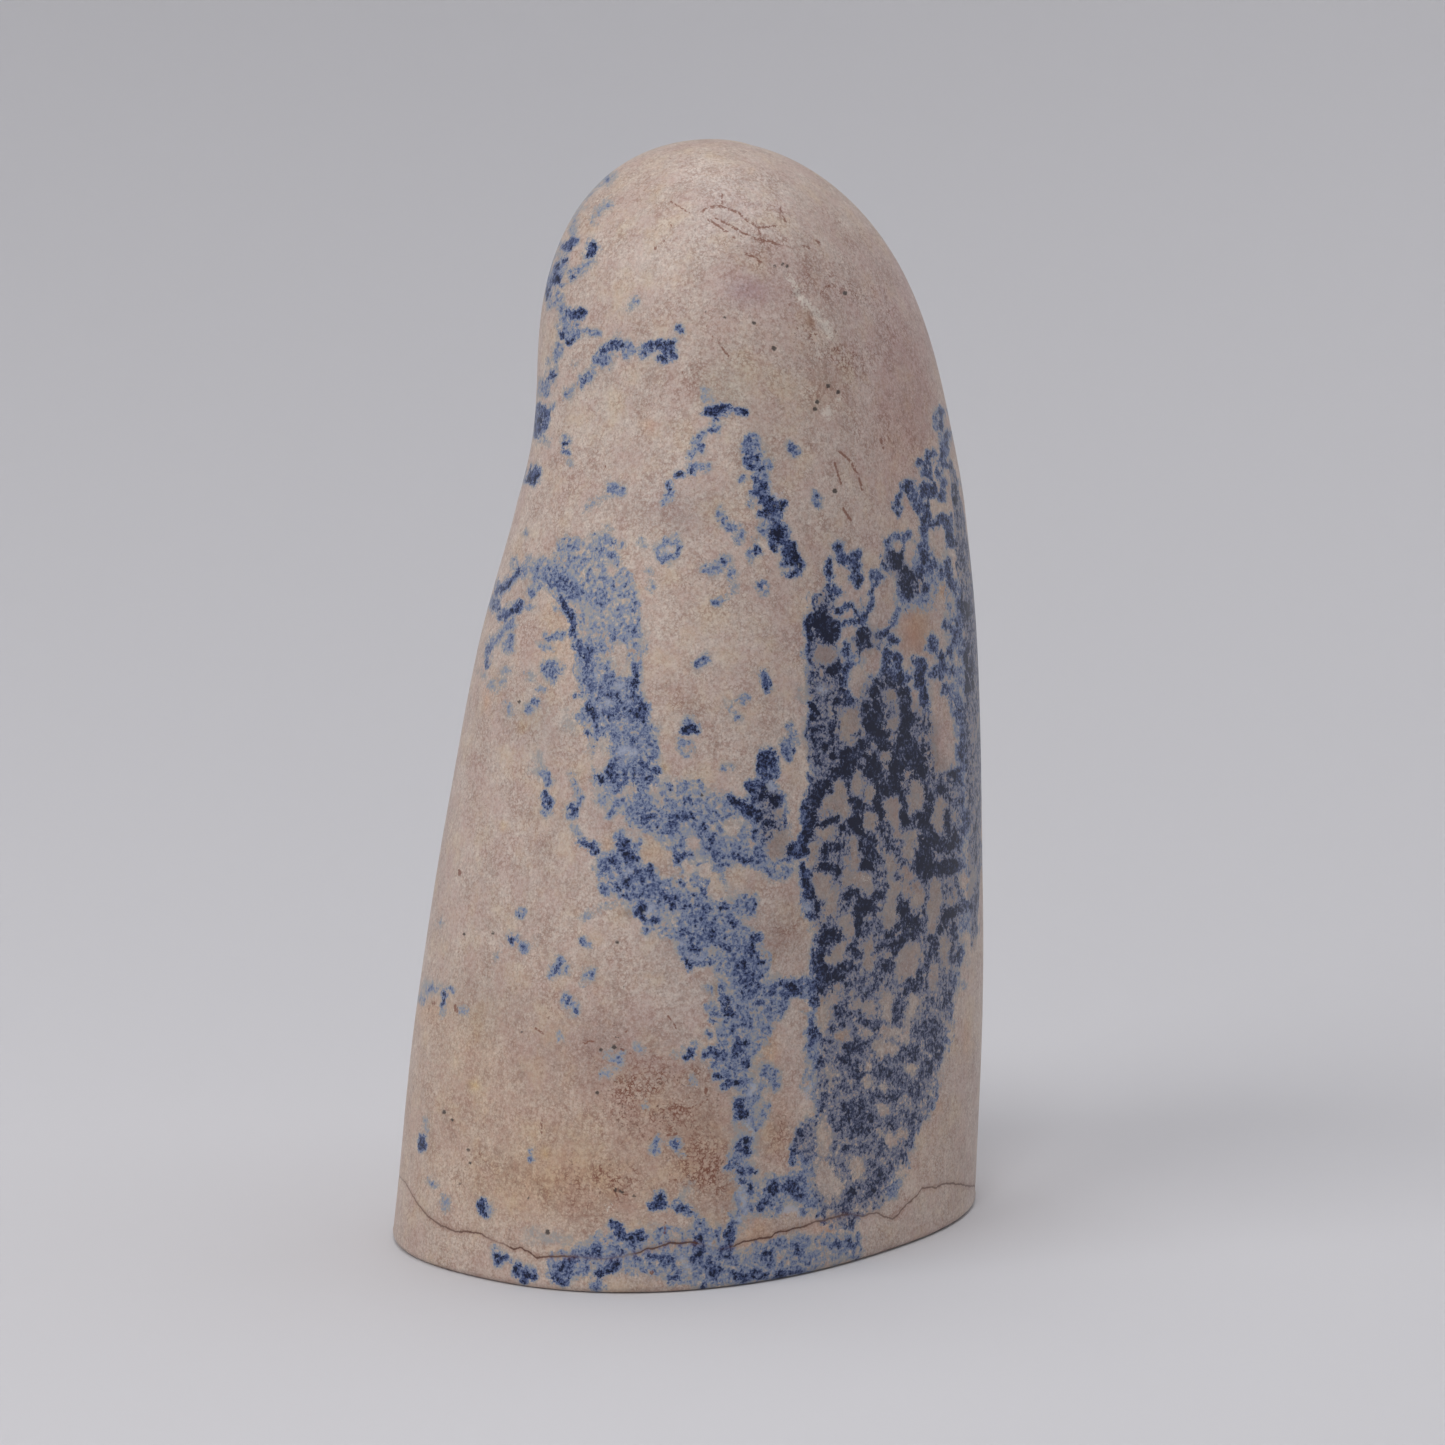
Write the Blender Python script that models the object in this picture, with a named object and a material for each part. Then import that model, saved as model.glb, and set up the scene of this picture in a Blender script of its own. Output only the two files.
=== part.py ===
"""A hand-polished standing freeform of sodalite rock: one solid stone on a flat sawn foot.

Units are metres and +Z is up. The stone stands on the plane Z = 0, and the origin is the middle of
its bounding box there. X runs along its two broad faces, and the display face looks to -Y.
"""
import math
from collections import namedtuple

import bmesh
import bpy

NAME = "sodalite_freeform"

# Overall size
HEIGHT = 0.118
FOOT_EDGE_RADIUS = 0.0008

# Level sections from the foot to the dome. Each is a rounded oblong: its half sizes, how far it has
# leaned over by that height, how many degrees it has turned, and how square it is (2 is an ellipse,
# and a higher value gives flatter sides and tighter corners).
Section = namedtuple("Section", "height half_length half_depth lean turn squareness")
SECTIONS = (
    Section(0.000, 0.0351, 0.0270, 0.0000, 0.0, 2.35),
    Section(0.024, 0.0335, 0.0258, 0.0017, 0.5, 2.50),
    Section(0.046, 0.0312, 0.0241, 0.0033, 1.5, 2.60),
    Section(0.064, 0.0291, 0.0224, 0.0047, 3.0, 2.65),
    Section(0.078, 0.0264, 0.0204, 0.0058, 4.5, 2.70),
    Section(0.088, 0.0248, 0.0192, 0.0060, 6.0, 2.80),
    Section(0.100, 0.0260, 0.0202, 0.0048, 7.0, 2.80),
    Section(HEIGHT, 0.0300, 0.0236, 0.0025, 8.0, 2.50),
)

# The stone leans between its display face and its +X end
LEAN_HEADING = math.radians(-50.0)

# The dome closes over the sections from this height to the top
DOME_START = 0.079

# Broad shallow forms left by shaping the stone by hand: where each is, how far it reaches around and
# up, and how deep it goes (a hollow is positive and a swell is negative)
Form = namedtuple("Form", "heading height reach_around reach_up depth")
WAIST = Form(130.0, 0.082, 40.0, 0.007, 0.0005)
BACK_SWELL = Form(75.0, 0.040, 45.0, 0.045, -0.0014)
BACK_HOLLOW = Form(62.0, 0.088, 30.0, 0.014, 0.0007)
END_FLAT = Form(8.0, 0.030, 26.0, 0.022, 0.0006)
FORMS = (WAIST, BACK_SWELL, BACK_HOLLOW, END_FLAT)

# How finely the loft is cut
POINTS_AROUND = 90
EDGE_RINGS = 3
BODY_RINGS = 30
DOME_RINGS = 18

# Finish of the polished beige rock
STONE_COLOUR = (0.52, 0.43, 0.36, 1.0)
STONE_ROUGHNESS = 0.38
SHARP_EDGE_ANGLE = math.radians(40.0)


def clear_scene():
    for item in list(bpy.data.objects):
        bpy.data.objects.remove(item, do_unlink=True)


def slope(index, field):
    """How fast a field changes with height at one of the named sections."""
    low = SECTIONS[max(index - 1, 0)]
    high = SECTIONS[min(index + 1, len(SECTIONS) - 1)]
    return (getattr(high, field) - getattr(low, field)) / (high.height - low.height)


def blended(height, field):
    """A section's value at any height, on a smooth curve through the named sections."""
    index = max(i for i in range(len(SECTIONS) - 1) if SECTIONS[i].height <= height)
    low = SECTIONS[index]
    high = SECTIONS[index + 1]
    span = high.height - low.height
    t = (height - low.height) / span
    start = (2 * t ** 3 - 3 * t ** 2 + 1) * getattr(low, field)
    end = (3 * t ** 2 - 2 * t ** 3) * getattr(high, field)
    leaving = (t ** 3 - 2 * t ** 2 + t) * span * slope(index, field)
    arriving = (t ** 3 - t ** 2) * span * slope(index + 1, field)
    return start + end + leaving + arriving


def closure(height):
    """How much of the full section is left at a height: 1 below the dome, 0 at the very top."""
    rise = max(height - DOME_START, 0.0) / (HEIGHT - DOME_START)
    return math.sqrt(max(1.0 - rise ** 2, 0.0))


def form_depth(heading, height):
    """How far the broad forms draw the surface in at a heading and height."""
    depth = 0.0
    for form in FORMS:
        around = math.remainder(heading - math.radians(form.heading), math.tau)
        around /= math.radians(form.reach_around)
        up = (height - form.height) / form.reach_up
        depth += form.depth * math.exp(-around ** 2 - up ** 2)
    return depth


def middle(height):
    """The middle of the section at a height, as X and Y."""
    lean = blended(height, "lean")
    return lean * math.cos(LEAN_HEADING), lean * math.sin(LEAN_HEADING)


def ring(height, inset=0.0):
    """The points of one level ring, drawn in by an inset at the foot's rounded edge."""
    half_length = blended(height, "half_length")
    half_depth = blended(height, "half_depth")
    turn = math.radians(blended(height, "turn"))
    squareness = blended(height, "squareness")
    middle_x, middle_y = middle(height)
    points = []
    for step in range(POINTS_AROUND):
        heading = math.tau * step / POINTS_AROUND
        along = abs(math.cos(heading - turn)) / half_length
        across = abs(math.sin(heading - turn)) / half_depth
        radius = (along ** squareness + across ** squareness) ** (-1.0 / squareness)
        radius = closure(height) * (radius - form_depth(heading, height)) - inset
        x = middle_x + radius * math.cos(heading)
        y = middle_y + radius * math.sin(heading)
        points.append((x, y, height))
    return points


def all_rings():
    """Every ring from the foot up: the rounded edge, the body, then the dome."""
    rings = []
    for step in range(EDGE_RINGS):
        angle = 0.5 * math.pi * step / EDGE_RINGS
        inset = FOOT_EDGE_RADIUS * (1.0 - math.sin(angle))
        rings.append(ring(FOOT_EDGE_RADIUS * (1.0 - math.cos(angle)), inset))
    for step in range(BODY_RINGS):
        climb = (DOME_START - FOOT_EDGE_RADIUS) * step / BODY_RINGS
        rings.append(ring(FOOT_EDGE_RADIUS + climb))
    for step in range(DOME_RINGS):
        angle = 0.5 * math.pi * step / DOME_RINGS
        rings.append(ring(DOME_START + (HEIGHT - DOME_START) * math.sin(angle)))
    return rings


def centre_on_origin(shape):
    """Slide the stone level so that the origin is the middle of its bounding box."""
    for axis in (0, 1):
        places = [vert.co[axis] for vert in shape.verts]
        centre = 0.5 * (min(places) + max(places))
        for vert in shape.verts:
            vert.co[axis] -= centre


def stone_mesh():
    """Skin the rings with quads, close the foot with one flat face and the top with a fan."""
    shape = bmesh.new()
    rows = [[shape.verts.new(point) for point in points] for points in all_rings()]
    top = shape.verts.new((*middle(HEIGHT), HEIGHT))
    shape.faces.new(reversed(rows[0]))
    for step in range(POINTS_AROUND):
        after = (step + 1) % POINTS_AROUND
        for low, high in zip(rows, rows[1:]):
            shape.faces.new((low[step], low[after], high[after], high[step]))
        shape.faces.new((rows[-1][step], rows[-1][after], top))
    centre_on_origin(shape)
    mesh = bpy.data.meshes.new("stone")
    shape.to_mesh(mesh)
    shape.free()
    return mesh


def polished_rock():
    material = bpy.data.materials.new("polished_rock")
    material.use_nodes = True
    surface = material.node_tree.nodes["Principled BSDF"]
    surface.inputs["Base Color"].default_value = STONE_COLOUR
    surface.inputs["Roughness"].default_value = STONE_ROUGHNESS
    surface.inputs["Metallic"].default_value = 0.0
    return material


def build_stone():
    mesh = stone_mesh()
    mesh.materials.append(polished_rock())
    mesh.shade_smooth()
    mesh.set_sharp_from_angle(angle=SHARP_EDGE_ANGLE)
    stone = bpy.data.objects.new("stone", mesh)
    collection = bpy.data.collections.new(NAME)
    bpy.context.scene.collection.children.link(collection)
    collection.objects.link(stone)


clear_scene()
build_stone()
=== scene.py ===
"""The looks of a hand-polished sodalite freeform: its skin, markings, floor, light and camera.

Units are metres in the stone's own frame, with +Z up. The markings were read from a photograph
of 1445 by 1445 pixels, as brush marks. A mark is one run of numbers: x, y and half width in pixels,
repeated for each of its points. The photograph's camera lays the marks on the stone, and marks on the
sides that it can't see are given by heading in degrees, height in millimetres and half width in
millimetres.
"""
import math
from collections import namedtuple

import bmesh
import bpy
import numpy as np
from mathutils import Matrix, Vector, noise
from mathutils.bvhtree import BVHTree


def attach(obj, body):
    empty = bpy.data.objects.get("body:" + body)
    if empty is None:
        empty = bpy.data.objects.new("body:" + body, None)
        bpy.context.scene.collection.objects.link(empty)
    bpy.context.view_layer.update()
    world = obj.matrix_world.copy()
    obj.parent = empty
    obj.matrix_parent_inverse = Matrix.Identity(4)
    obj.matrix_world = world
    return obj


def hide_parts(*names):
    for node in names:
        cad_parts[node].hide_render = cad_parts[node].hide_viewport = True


# The photograph's camera: where it stands, which way it looks and how long its lens is
PHOTO_SIDE = 1445
FOCAL_PIXELS = 3000.0
SENSOR_WIDTH = 36.0
CAMERA_PLACE = (-0.2493, -0.2139, 0.0813)
CAMERA_HEADING = math.radians(40.0)
CAMERA_TILT = math.radians(4.62)
MM_PER_PIXEL = 0.106
MM = 0.001

# How the stone's surface is measured: straight out from its axis up to the dome, and from one point
# on the axis above that. The climb is the height below the dome and the distance along it above.
DOME_START = 0.079
DOME_REACH = 0.035
FOOT_EDGE_RADIUS = 0.0008
ROW_STEP = 0.0005
COLUMNS = 720
SMOOTH_WAVES = 26
SMOOTH_ROWS = 4.0

# The skin's grain: the distance between its points before it is refined, and its rows to that distance
SKIN_SPACING = 0.00122
FOOT_SPACING = 0.0026
ROW_SHARE = 0.87
EDGE_ROWS = 3
FEWEST_IN_RING = 6
# How squarely a face must look at the camera to be refined as seen: once, and again near the marks
ONCE_FROM = -0.3
AGAIN_FROM = -0.1
# How far outside the marks the skin is refined: in pixels, and in mm on the far side
REFINE_MARGIN = 8.0
FINEST_MARGIN = 3.5
REFINE_MARGIN_BEHIND = 1.2
# Where the photograph's marks give way to the far side's, by how squarely a face looks at the camera
SEEN_FROM = -0.16
SEEN_FADE = 0.14

# Upper left chain of marks, the ellipse beside it and the small marks below
NAVY_CHAIN = (
    (563, 248, 4, 574, 240, 3), (588, 254, 3.5, 595, 243, 3.5), (564, 261, 3), (556, 266, 3),
    (556, 275, 3, 556, 282, 4), (549, 290, 3.5, 548, 295, 3.5), (571, 276, 2.5), (570, 313, 5, 580, 313, 5),
    (563, 334, 3.5), (571, 341, 4), (550, 376, 3), (540, 408, 3.5, 537, 420, 3.5, 537, 435, 3),
    (547, 410, 3, 545, 420, 3, 541, 430, 3), (566, 445, 3), (565, 453, 2), (535, 470, 4.5, 530, 480, 4.5),
    (583, 380, 3), (648, 346, 4, 660, 344, 4, 672, 345, 4), (668, 352, 7), (660, 358, 5), (646, 354, 3),
    (620, 345, 4, 610, 348, 4, 602, 353, 4), (612, 347, 3), (693, 469, 3), (706, 468, 2), (668, 486, 3.5),
    (709, 413, 5, 722, 412, 5), (716, 421, 3), (723, 408, 2.5), (732, 410, 3, 743, 413, 3.5),
)
BLUE_CHAIN = (
    (606, 178, 3), (548, 290, 5, 552, 278, 5, 556, 268, 5, 562, 262, 5), (570, 272, 3, 577, 271, 3),
    (556, 296, 3, 553, 304, 3), (558, 300, 4, 561, 306, 4, 562, 314, 4), (568, 322, 9, 573, 333, 9),
    (585, 331, 3, 593, 334, 3), (634, 300, 3), (679, 330, 3),
    (560, 345, 3, 557, 352, 3, 553, 362, 3, 551, 372, 3, 549, 380, 3), (546, 382, 5, 543, 392, 5),
    (552, 407, 2.5), (629, 347, 7), (628, 357, 4), (641, 348, 3, 636, 350, 3),
    (597, 362, 3, 603, 366, 3, 608, 364, 3, 605, 358, 3, 598, 358, 3, 597, 362, 3),
    (592, 372, 3.5, 585, 378, 3.5, 580, 382, 3.5), (572, 390, 2.5, 568, 396, 2.5),
    (711, 431, 3, 717, 429, 3), (704, 437, 2.5, 697, 442, 2.5, 694, 445, 2.5), (697, 450, 4),
    (690, 455, 2.5), (692, 468, 4, 700, 467, 4, 707, 468, 4), (668, 494, 4), (665, 502, 2.5), (614, 487, 6),
    (621, 489, 3), (749, 443, 6, 757, 445, 6), (753, 437, 3), (744, 450, 3), (763, 449, 3),
    (747, 457, 3, 750, 465, 3), (766, 465, 4, 768, 470, 4), (750, 500, 3, 752, 503, 3), (741, 479, 2.5),
    (721, 512, 3, 722, 519, 3), (727, 523, 4.5, 733, 529, 4.5), (739, 528, 3.5, 740, 538, 3.5),
    (762, 530, 5), (751, 557, 3), (801, 567, 3.5), (790, 445, 3.5, 794, 452, 3.5),
    (816, 499, 3.5, 820, 502, 3.5),
)
PALE_CHAIN = (
    (612, 175, 3, 600, 183, 3, 588, 193, 3, 580, 205, 3, 575, 220, 3, 571, 232, 3),
    (597, 211, 5, 607, 204, 5), (593, 221, 3), (574, 240, 3, 555, 255, 3), (580, 268, 3, 590, 262, 3),
    (631, 306, 3, 628, 312, 3), (577, 364, 3), (619, 335, 3, 615, 338, 3), (612, 356, 5), (543, 442, 4),
    (566, 438, 4), (568, 462, 2.5), (703, 388, 3, 708, 397, 3, 712, 400, 3),
    (609, 494, 3, 602, 499, 3, 590, 504, 3, 587, 507, 3), (642, 545, 6), (650, 572, 3), (652, 585, 4),
)

# The dark streak under the dome and the lone spots below it
NAVY_STREAK = (
    (757, 486, 5, 765, 499, 7, 772, 512, 8, 778, 528, 7, 785, 541, 5, 793, 556, 5, 797, 564, 4),
    (748, 450, 3, 753, 466, 3), (756, 455, 3.5, 761, 456, 3.5), (752, 466, 3), (759, 470, 2.5),
    (753, 478, 2.5), (762, 483, 5), (754, 493, 4.5), (766, 503, 3.5), (775, 506, 5), (783, 504, 3),
    (757, 516, 3, 764, 518, 3), (765, 512, 4), (773, 514, 5), (780, 507, 4, 782, 503, 4), (775, 532, 5),
    (783, 526, 5), (787, 533, 4), (758, 551, 4), (755, 543, 2), (775, 542, 3, 778, 550, 3),
    (785, 548, 5, 790, 556, 4.5, 796, 560, 4), (786, 562, 3),
    (785, 562, 2.5, 791, 558, 2.5, 799, 560, 2.5, 802, 566, 2.5, 797, 572, 2.5, 788, 571, 2.5),
    (761, 586, 4), (767, 679, 5.5, 768, 687, 5.5), (689, 730, 5.5, 697, 727, 5),
    (676, 475, 1.5, 684, 475, 1.5),
)
BLUE_STREAK = (
    (751, 448, 5, 757, 465, 7, 760, 485, 7.5, 767, 505, 8, 774, 525, 8, 783, 545, 7, 794, 561, 6),
    (706, 568, 4, 716, 570, 4), (717, 572, 3), (733, 575, 4), (719, 603, 4.5), (696, 666, 4, 706, 659, 4),
    (745, 700, 4), (736, 718, 3.5), (724, 766, 3, 729, 766, 3), (690, 722, 5), (761, 590, 4),
    (786, 745, 4, 788, 755, 4), (790, 730, 4, 797, 740, 4),
)
PALE_STREAK = (
    (735, 585, 3.5, 728, 594, 3.5, 721, 600, 3.5), (738, 701, 3), (732, 705, 3, 730, 712, 3), (691, 716, 3),
    (683, 742, 4, 688, 752, 4),
)
# Round rims: x, y, radius, half width
BLUE_RIMS = ((668, 550, 9.5, 2.6), (724, 563, 4.5, 2.2), (655, 888, 5, 2.5), (687, 748, 5, 2.0))

# The blue band that comes in at the left edge and runs down across the front corner
NAVY_BAND = (
    (611, 545, 3), (612, 557, 3), (519, 571, 3.5, 512, 578, 4, 503, 589, 4), (500, 583, 3, 497, 590, 3),
    (493, 600, 2.5, 490, 606, 2.5), (497, 600, 2, 496, 608, 2), (519, 606, 4, 512, 610, 4.5, 503, 616, 4.5),
    (490, 645, 2.5, 488, 655, 2.5, 487, 662, 2.5), (566, 583, 3), (571, 586, 3),
    (563, 600, 3.5, 567, 614, 3.5, 572, 622, 3.5, 575, 632, 3.5), (637, 603, 4.5), (634, 613, 4),
    (615, 634, 4.5), (580, 644, 5, 588, 656, 7), (598, 648, 3), (634, 668, 3.5, 634, 682, 3.5),
    (556, 676, 3), (578, 695, 3.5), (590, 710, 4, 596, 716, 5), (604, 716, 3.5, 622, 715, 4),
    (605, 694, 3, 620, 697, 3), (636, 712, 6, 645, 706, 4), (640, 714, 6), (626, 716, 3.5, 646, 716, 3.5),
    (588, 732, 3), (620, 741, 2.5, 640, 741, 2.5), (612, 768, 7), (614, 778, 6), (603, 780, 5),
    (633, 776, 5), (640, 772, 5), (646, 764, 6), (650, 780, 4), (656, 771, 3.5), (536, 703, 3),
    (574, 783, 3), (546, 796, 4, 549, 805, 4), (571, 810, 6), (581, 840, 3.5, 588, 847, 4.5, 598, 848, 4.5),
    (669, 787, 3), (645, 818, 4, 655, 816, 4), (643, 822, 4), (658, 825, 3),
    (622, 842, 5, 625, 850, 6, 630, 860, 7), (652, 868, 4), (668, 862, 4, 675, 858, 5, 688, 852, 4),
    (703, 825, 3.5), (697, 836, 4.5), (712, 837, 4.5), (707, 848, 3), (737, 855, 5, 745, 857, 4),
    (605, 870, 4), (602, 875, 3), (612, 862, 4), (618, 870, 4), (637, 872, 4, 645, 875, 4, 651, 868, 4),
    (630, 882, 4), (615, 885, 4), (623, 892, 3.5), (637, 895, 4, 641, 902, 4.5), (640, 907, 7),
    (637, 910, 5), (644, 921, 3.5), (673, 900, 4), (666, 903, 3.5), (665, 895, 2.5), (690, 905, 4),
    (698, 903, 4), (705, 912, 4), (693, 915, 4), (703, 920, 4), (688, 925, 4), (697, 928, 3.5),
    (712, 908, 3.5), (684, 932, 3.5), (690, 937, 4), (705, 932, 3), (705, 890, 4.5), (695, 892, 2.5),
    (693, 948, 5.5), (682, 962, 2.5, 690, 966, 2.5, 700, 964, 2.5, 708, 960, 3), (710, 961, 4),
    (722, 970, 3), (752, 950, 5, 757, 960, 5), (757, 935, 5), (755, 942, 4), (757, 985, 3), (716, 1022, 3),
    (722, 997, 3, 725, 1003, 3, 728, 1010, 3, 732, 1015, 3.5), (690, 803, 4), (786, 985, 5, 797, 989, 6),
    (812, 986, 6), (806, 878, 6, 810, 892, 8, 814, 908, 7), (662, 892, 5, 672, 908, 5),
    (712, 935, 6, 724, 948, 6), (735, 925, 5), (742, 968, 5), (708, 880, 4), (724, 905, 5), (655, 922, 4),
    (745, 995, 4), (760, 1003, 4), (676, 820, 5), (662, 806, 4), (690, 818, 4), (716, 858, 5),
    (684, 884, 4),
)
BLUE_BAND = (
    (524, 535, 2.5), (603, 540, 4), (600, 545, 3, 605, 556, 3, 612, 556, 3), (619, 546, 2.5), (585, 562, 4),
    (559, 556, 3), (540, 572, 7, 556, 582, 9, 568, 586, 9, 575, 592, 9), (528, 588, 5), (530, 605, 3.5),
    (630, 592, 4), (615, 586, 4), (622, 575, 3), (590, 648, 9, 590, 665, 9, 590, 680, 9), (605, 687, 8),
    (634, 665, 5, 635, 680, 5, 630, 687, 5), (545, 636, 3, 562, 636, 3), (552, 670, 9),
    (509, 625, 4, 505, 630, 4, 499, 637, 4, 494, 641, 4), (511, 640, 3, 508, 647, 3),
    (606, 684, 21, 612, 695, 25, 618, 712, 28, 622, 728, 28), (655, 727, 4), (632, 745, 22, 632, 762, 24),
    (632, 776, 22), (530, 710, 5), (544, 773, 3.5, 548, 783, 3.5), (547, 812, 4), (572, 773, 3),
    (577, 790, 3.5), (578, 798, 5.5), (571, 810, 7), (610, 812, 5), (612, 782, 7),
    (640, 796, 8, 640, 806, 10), (638, 812, 12, 650, 818, 13, 668, 826, 12), (620, 838, 6, 624, 852, 10),
    (612, 864, 14, 625, 876, 16, 640, 890, 18, 648, 900, 14), (605, 888, 5), (647, 932, 4),
    (665, 895, 6, 680, 905, 6), (690, 800, 5, 697, 806, 4), (700, 828, 10, 712, 845, 12),
    (720, 858, 5, 760, 858, 6), (697, 905, 16, 698, 922, 18, 692, 940, 15, 690, 955, 11),
    (720, 930, 18, 740, 942, 18, 742, 965, 19, 748, 985, 15), (745, 905, 12), (706, 990, 4),
    (713, 1008, 4, 718, 1015, 4), (770, 987, 8, 780, 988, 9, 798, 988, 9, 812, 988, 9),
    (784, 1002, 6, 772, 1016, 6), (765, 1028, 6, 764, 1036, 5), (662, 800, 7, 684, 814, 8),
    (716, 818, 7, 735, 832, 8), (757, 836, 7), (774, 868, 6), (760, 800, 9), (727, 878, 5), (640, 845, 7),
    (676, 872, 7), (668, 930, 6), (700, 880, 6),
)
PALE_BAND = (
    (600, 605, 14, 620, 606, 12), (602, 620, 14, 628, 630, 10), (590, 630, 10), (607, 530, 5),
    (593, 565, 4), (566, 536, 2.5, 565, 548, 2.5), (556, 610, 4), (590, 590, 8), (505, 672, 5),
    (530, 675, 5), (498, 685, 5), (540, 688, 5), (540, 645, 4, 552, 648, 4), (633, 635, 4), (482, 672, 3),
    (492, 688, 6), (508, 703, 4, 512, 712, 4), (530, 710, 7), (600, 803, 7), (576, 825, 3, 580, 835, 3),
    (762, 830, 5), (712, 940, 9), (733, 1040, 8),
    (580, 917, 3, 590, 912, 3, 600, 908, 3, 612, 903, 3, 620, 900, 3), (735, 975, 8),
)
# Where the dark mesh fills the rock, and where the paler blue wash does
MESH_FIELD = (
    (884, 700, 26, 884, 745, 56, 884, 800, 76, 886, 900, 76, 888, 960, 72, 884, 1020, 66, 878, 1080,
     60, 866, 1130, 52, 850, 1180, 40, 838, 1208, 22), (768, 800, 12, 776, 845, 14), (812, 1140, 20),
    (824, 600, 10, 824, 640, 15, 828, 690, 19, 824, 750, 18), (896, 560, 12, 912, 585, 12), (868, 640, 14),
)
WASH_FIELD = (
    (520, 566, 8, 560, 575, 20, 600, 590, 34, 612, 640, 34, 606, 690, 32, 622, 740, 34, 630, 790, 26),
    (566, 546, 9, 596, 550, 10), (645, 810, 22, 700, 838, 26, 740, 850, 22),
    (612, 868, 18, 650, 895, 24, 700, 925, 30, 742, 955, 26, 748, 1000, 22, 742, 1045, 20),
    (730, 1062, 15, 750, 1092, 11, 754, 1122, 8), (742, 1152, 10, 743, 1176, 11), (742, 1202, 13),
    (830, 1030, 26, 825, 1080, 22),
    (560, 1268, 14, 620, 1250, 20, 690, 1255, 26, 745, 1268, 20, 800, 1258, 20, 850, 1247, 12),
    (850, 670, 24, 868, 715, 40), (700, 805, 22, 740, 830, 26, 778, 868, 16), (768, 800, 20),
    (956, 590, 8, 958, 700, 9, 958, 800, 12, 955, 860, 14), (925, 560, 22, 912, 600, 20),
    (775, 1195, 20, 800, 1190, 20), (885, 1162, 14, 892, 1182, 12), (690, 790, 14), (775, 990, 14),
    (738, 905, 14), (770, 1080, 10),
)
# Thin grey-blue veils with soft edges
HAZE = (
    (566, 564, 5, 548, 568, 10, 530, 570, 6), (570, 724, 8), (566, 712, 5), (540, 750, 4, 539, 770, 6),
    (531, 771, 5), (606, 795, 12), (690, 790, 16), (668, 785, 12), (702, 852, 16), (670, 888, 11),
    (738, 895, 14), (745, 1010, 18, 750, 1050, 16, 752, 1090, 14), (745, 1120, 13, 745, 1180, 14),
    (742, 1215, 14), (686, 1190, 9), (650, 1227, 7), (612, 1240, 14), (790, 1262, 9, 830, 1255, 8),
    (855, 1248, 7), (820, 1050, 12, 815, 1080, 12, 822, 1110, 12), (836, 1160, 9), (804, 690, 9),
    (690, 1250, 16), (893, 1190, 8), (700, 798, 6), (725, 700, 5), (566, 970, 5),
    (566, 1240, 8, 530, 1236, 7), (430, 985, 8),
)

# Lone marks on the plain left face and along the foot
NAVY_LOW = (
    (557, 966, 3, 553, 973, 3), (569, 1001, 3.5), (443, 997, 3, 443, 1004, 3),
    (421, 1140, 2.5, 421, 1146, 2.5), (534, 1151, 2), (533, 1161, 1.5), (482, 1205, 4.5, 484, 1212, 4.5),
    (521, 913, 2), (508, 941, 3), (707, 1056, 4, 720, 1055, 5), (741, 1043, 5.5, 737, 1050, 5),
    (729, 1083, 4, 737, 1081, 4, 726, 1086, 3.5), (747, 1063, 4.5), (718, 1075, 3.5), (728, 1066, 3.5),
    (690, 1052, 4.5, 686, 1056, 3.5), (741, 1108, 6, 741, 1115, 6), (745, 1141, 4), (744, 1150, 6),
    (738, 1145, 4), (738, 1160, 3.5, 732, 1166, 3.5, 729, 1168, 3.5), (740, 1173, 6), (752, 1172, 5),
    (741, 1185, 4), (751, 1190, 4), (676, 1143, 3.5), (660, 1195, 4, 658, 1202, 6),
    (651, 1205, 4, 666, 1205, 4.5), (682, 1206, 5.5), (688, 1209, 4.5),
    (616, 1226, 5, 617, 1233, 6, 628, 1237, 5, 640, 1234, 5), (594, 1248, 4), (615, 1251, 3.5),
    (600, 1274, 4, 604, 1269, 5, 612, 1266, 4), (648, 1257, 4, 655, 1256, 4, 662, 1260, 5, 672, 1261, 4),
    (672, 1279, 4, 679, 1276, 4), (698, 1238, 4.5, 700, 1250, 5, 697, 1258, 4),
    (720, 1258, 5, 728, 1246, 5.5, 731, 1235, 5), (708, 1265, 4, 716, 1270, 5), (700, 1285, 4),
    (737, 1277, 4), (745, 1279, 4, 757, 1275, 6), (768, 1257, 4), (775, 1277, 3.5, 795, 1272, 3.5),
    (793, 1248, 3.5, 797, 1255, 4), (835, 1246, 4), (850, 1243, 5, 858, 1245, 4),
    (765, 1204, 5.5, 761, 1210, 4.5), (776, 1187, 4.5, 770, 1190, 3), (790, 1188, 7, 794, 1193, 6),
    (800, 1195, 4.5), (498, 1257, 4, 505, 1258, 4),
    (515, 1266, 3, 518, 1272, 3.5, 524, 1278, 4, 531, 1277, 5),
    (572, 1262, 5, 565, 1269, 6, 560, 1279, 6.5), (585, 1252, 4),
)
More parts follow.
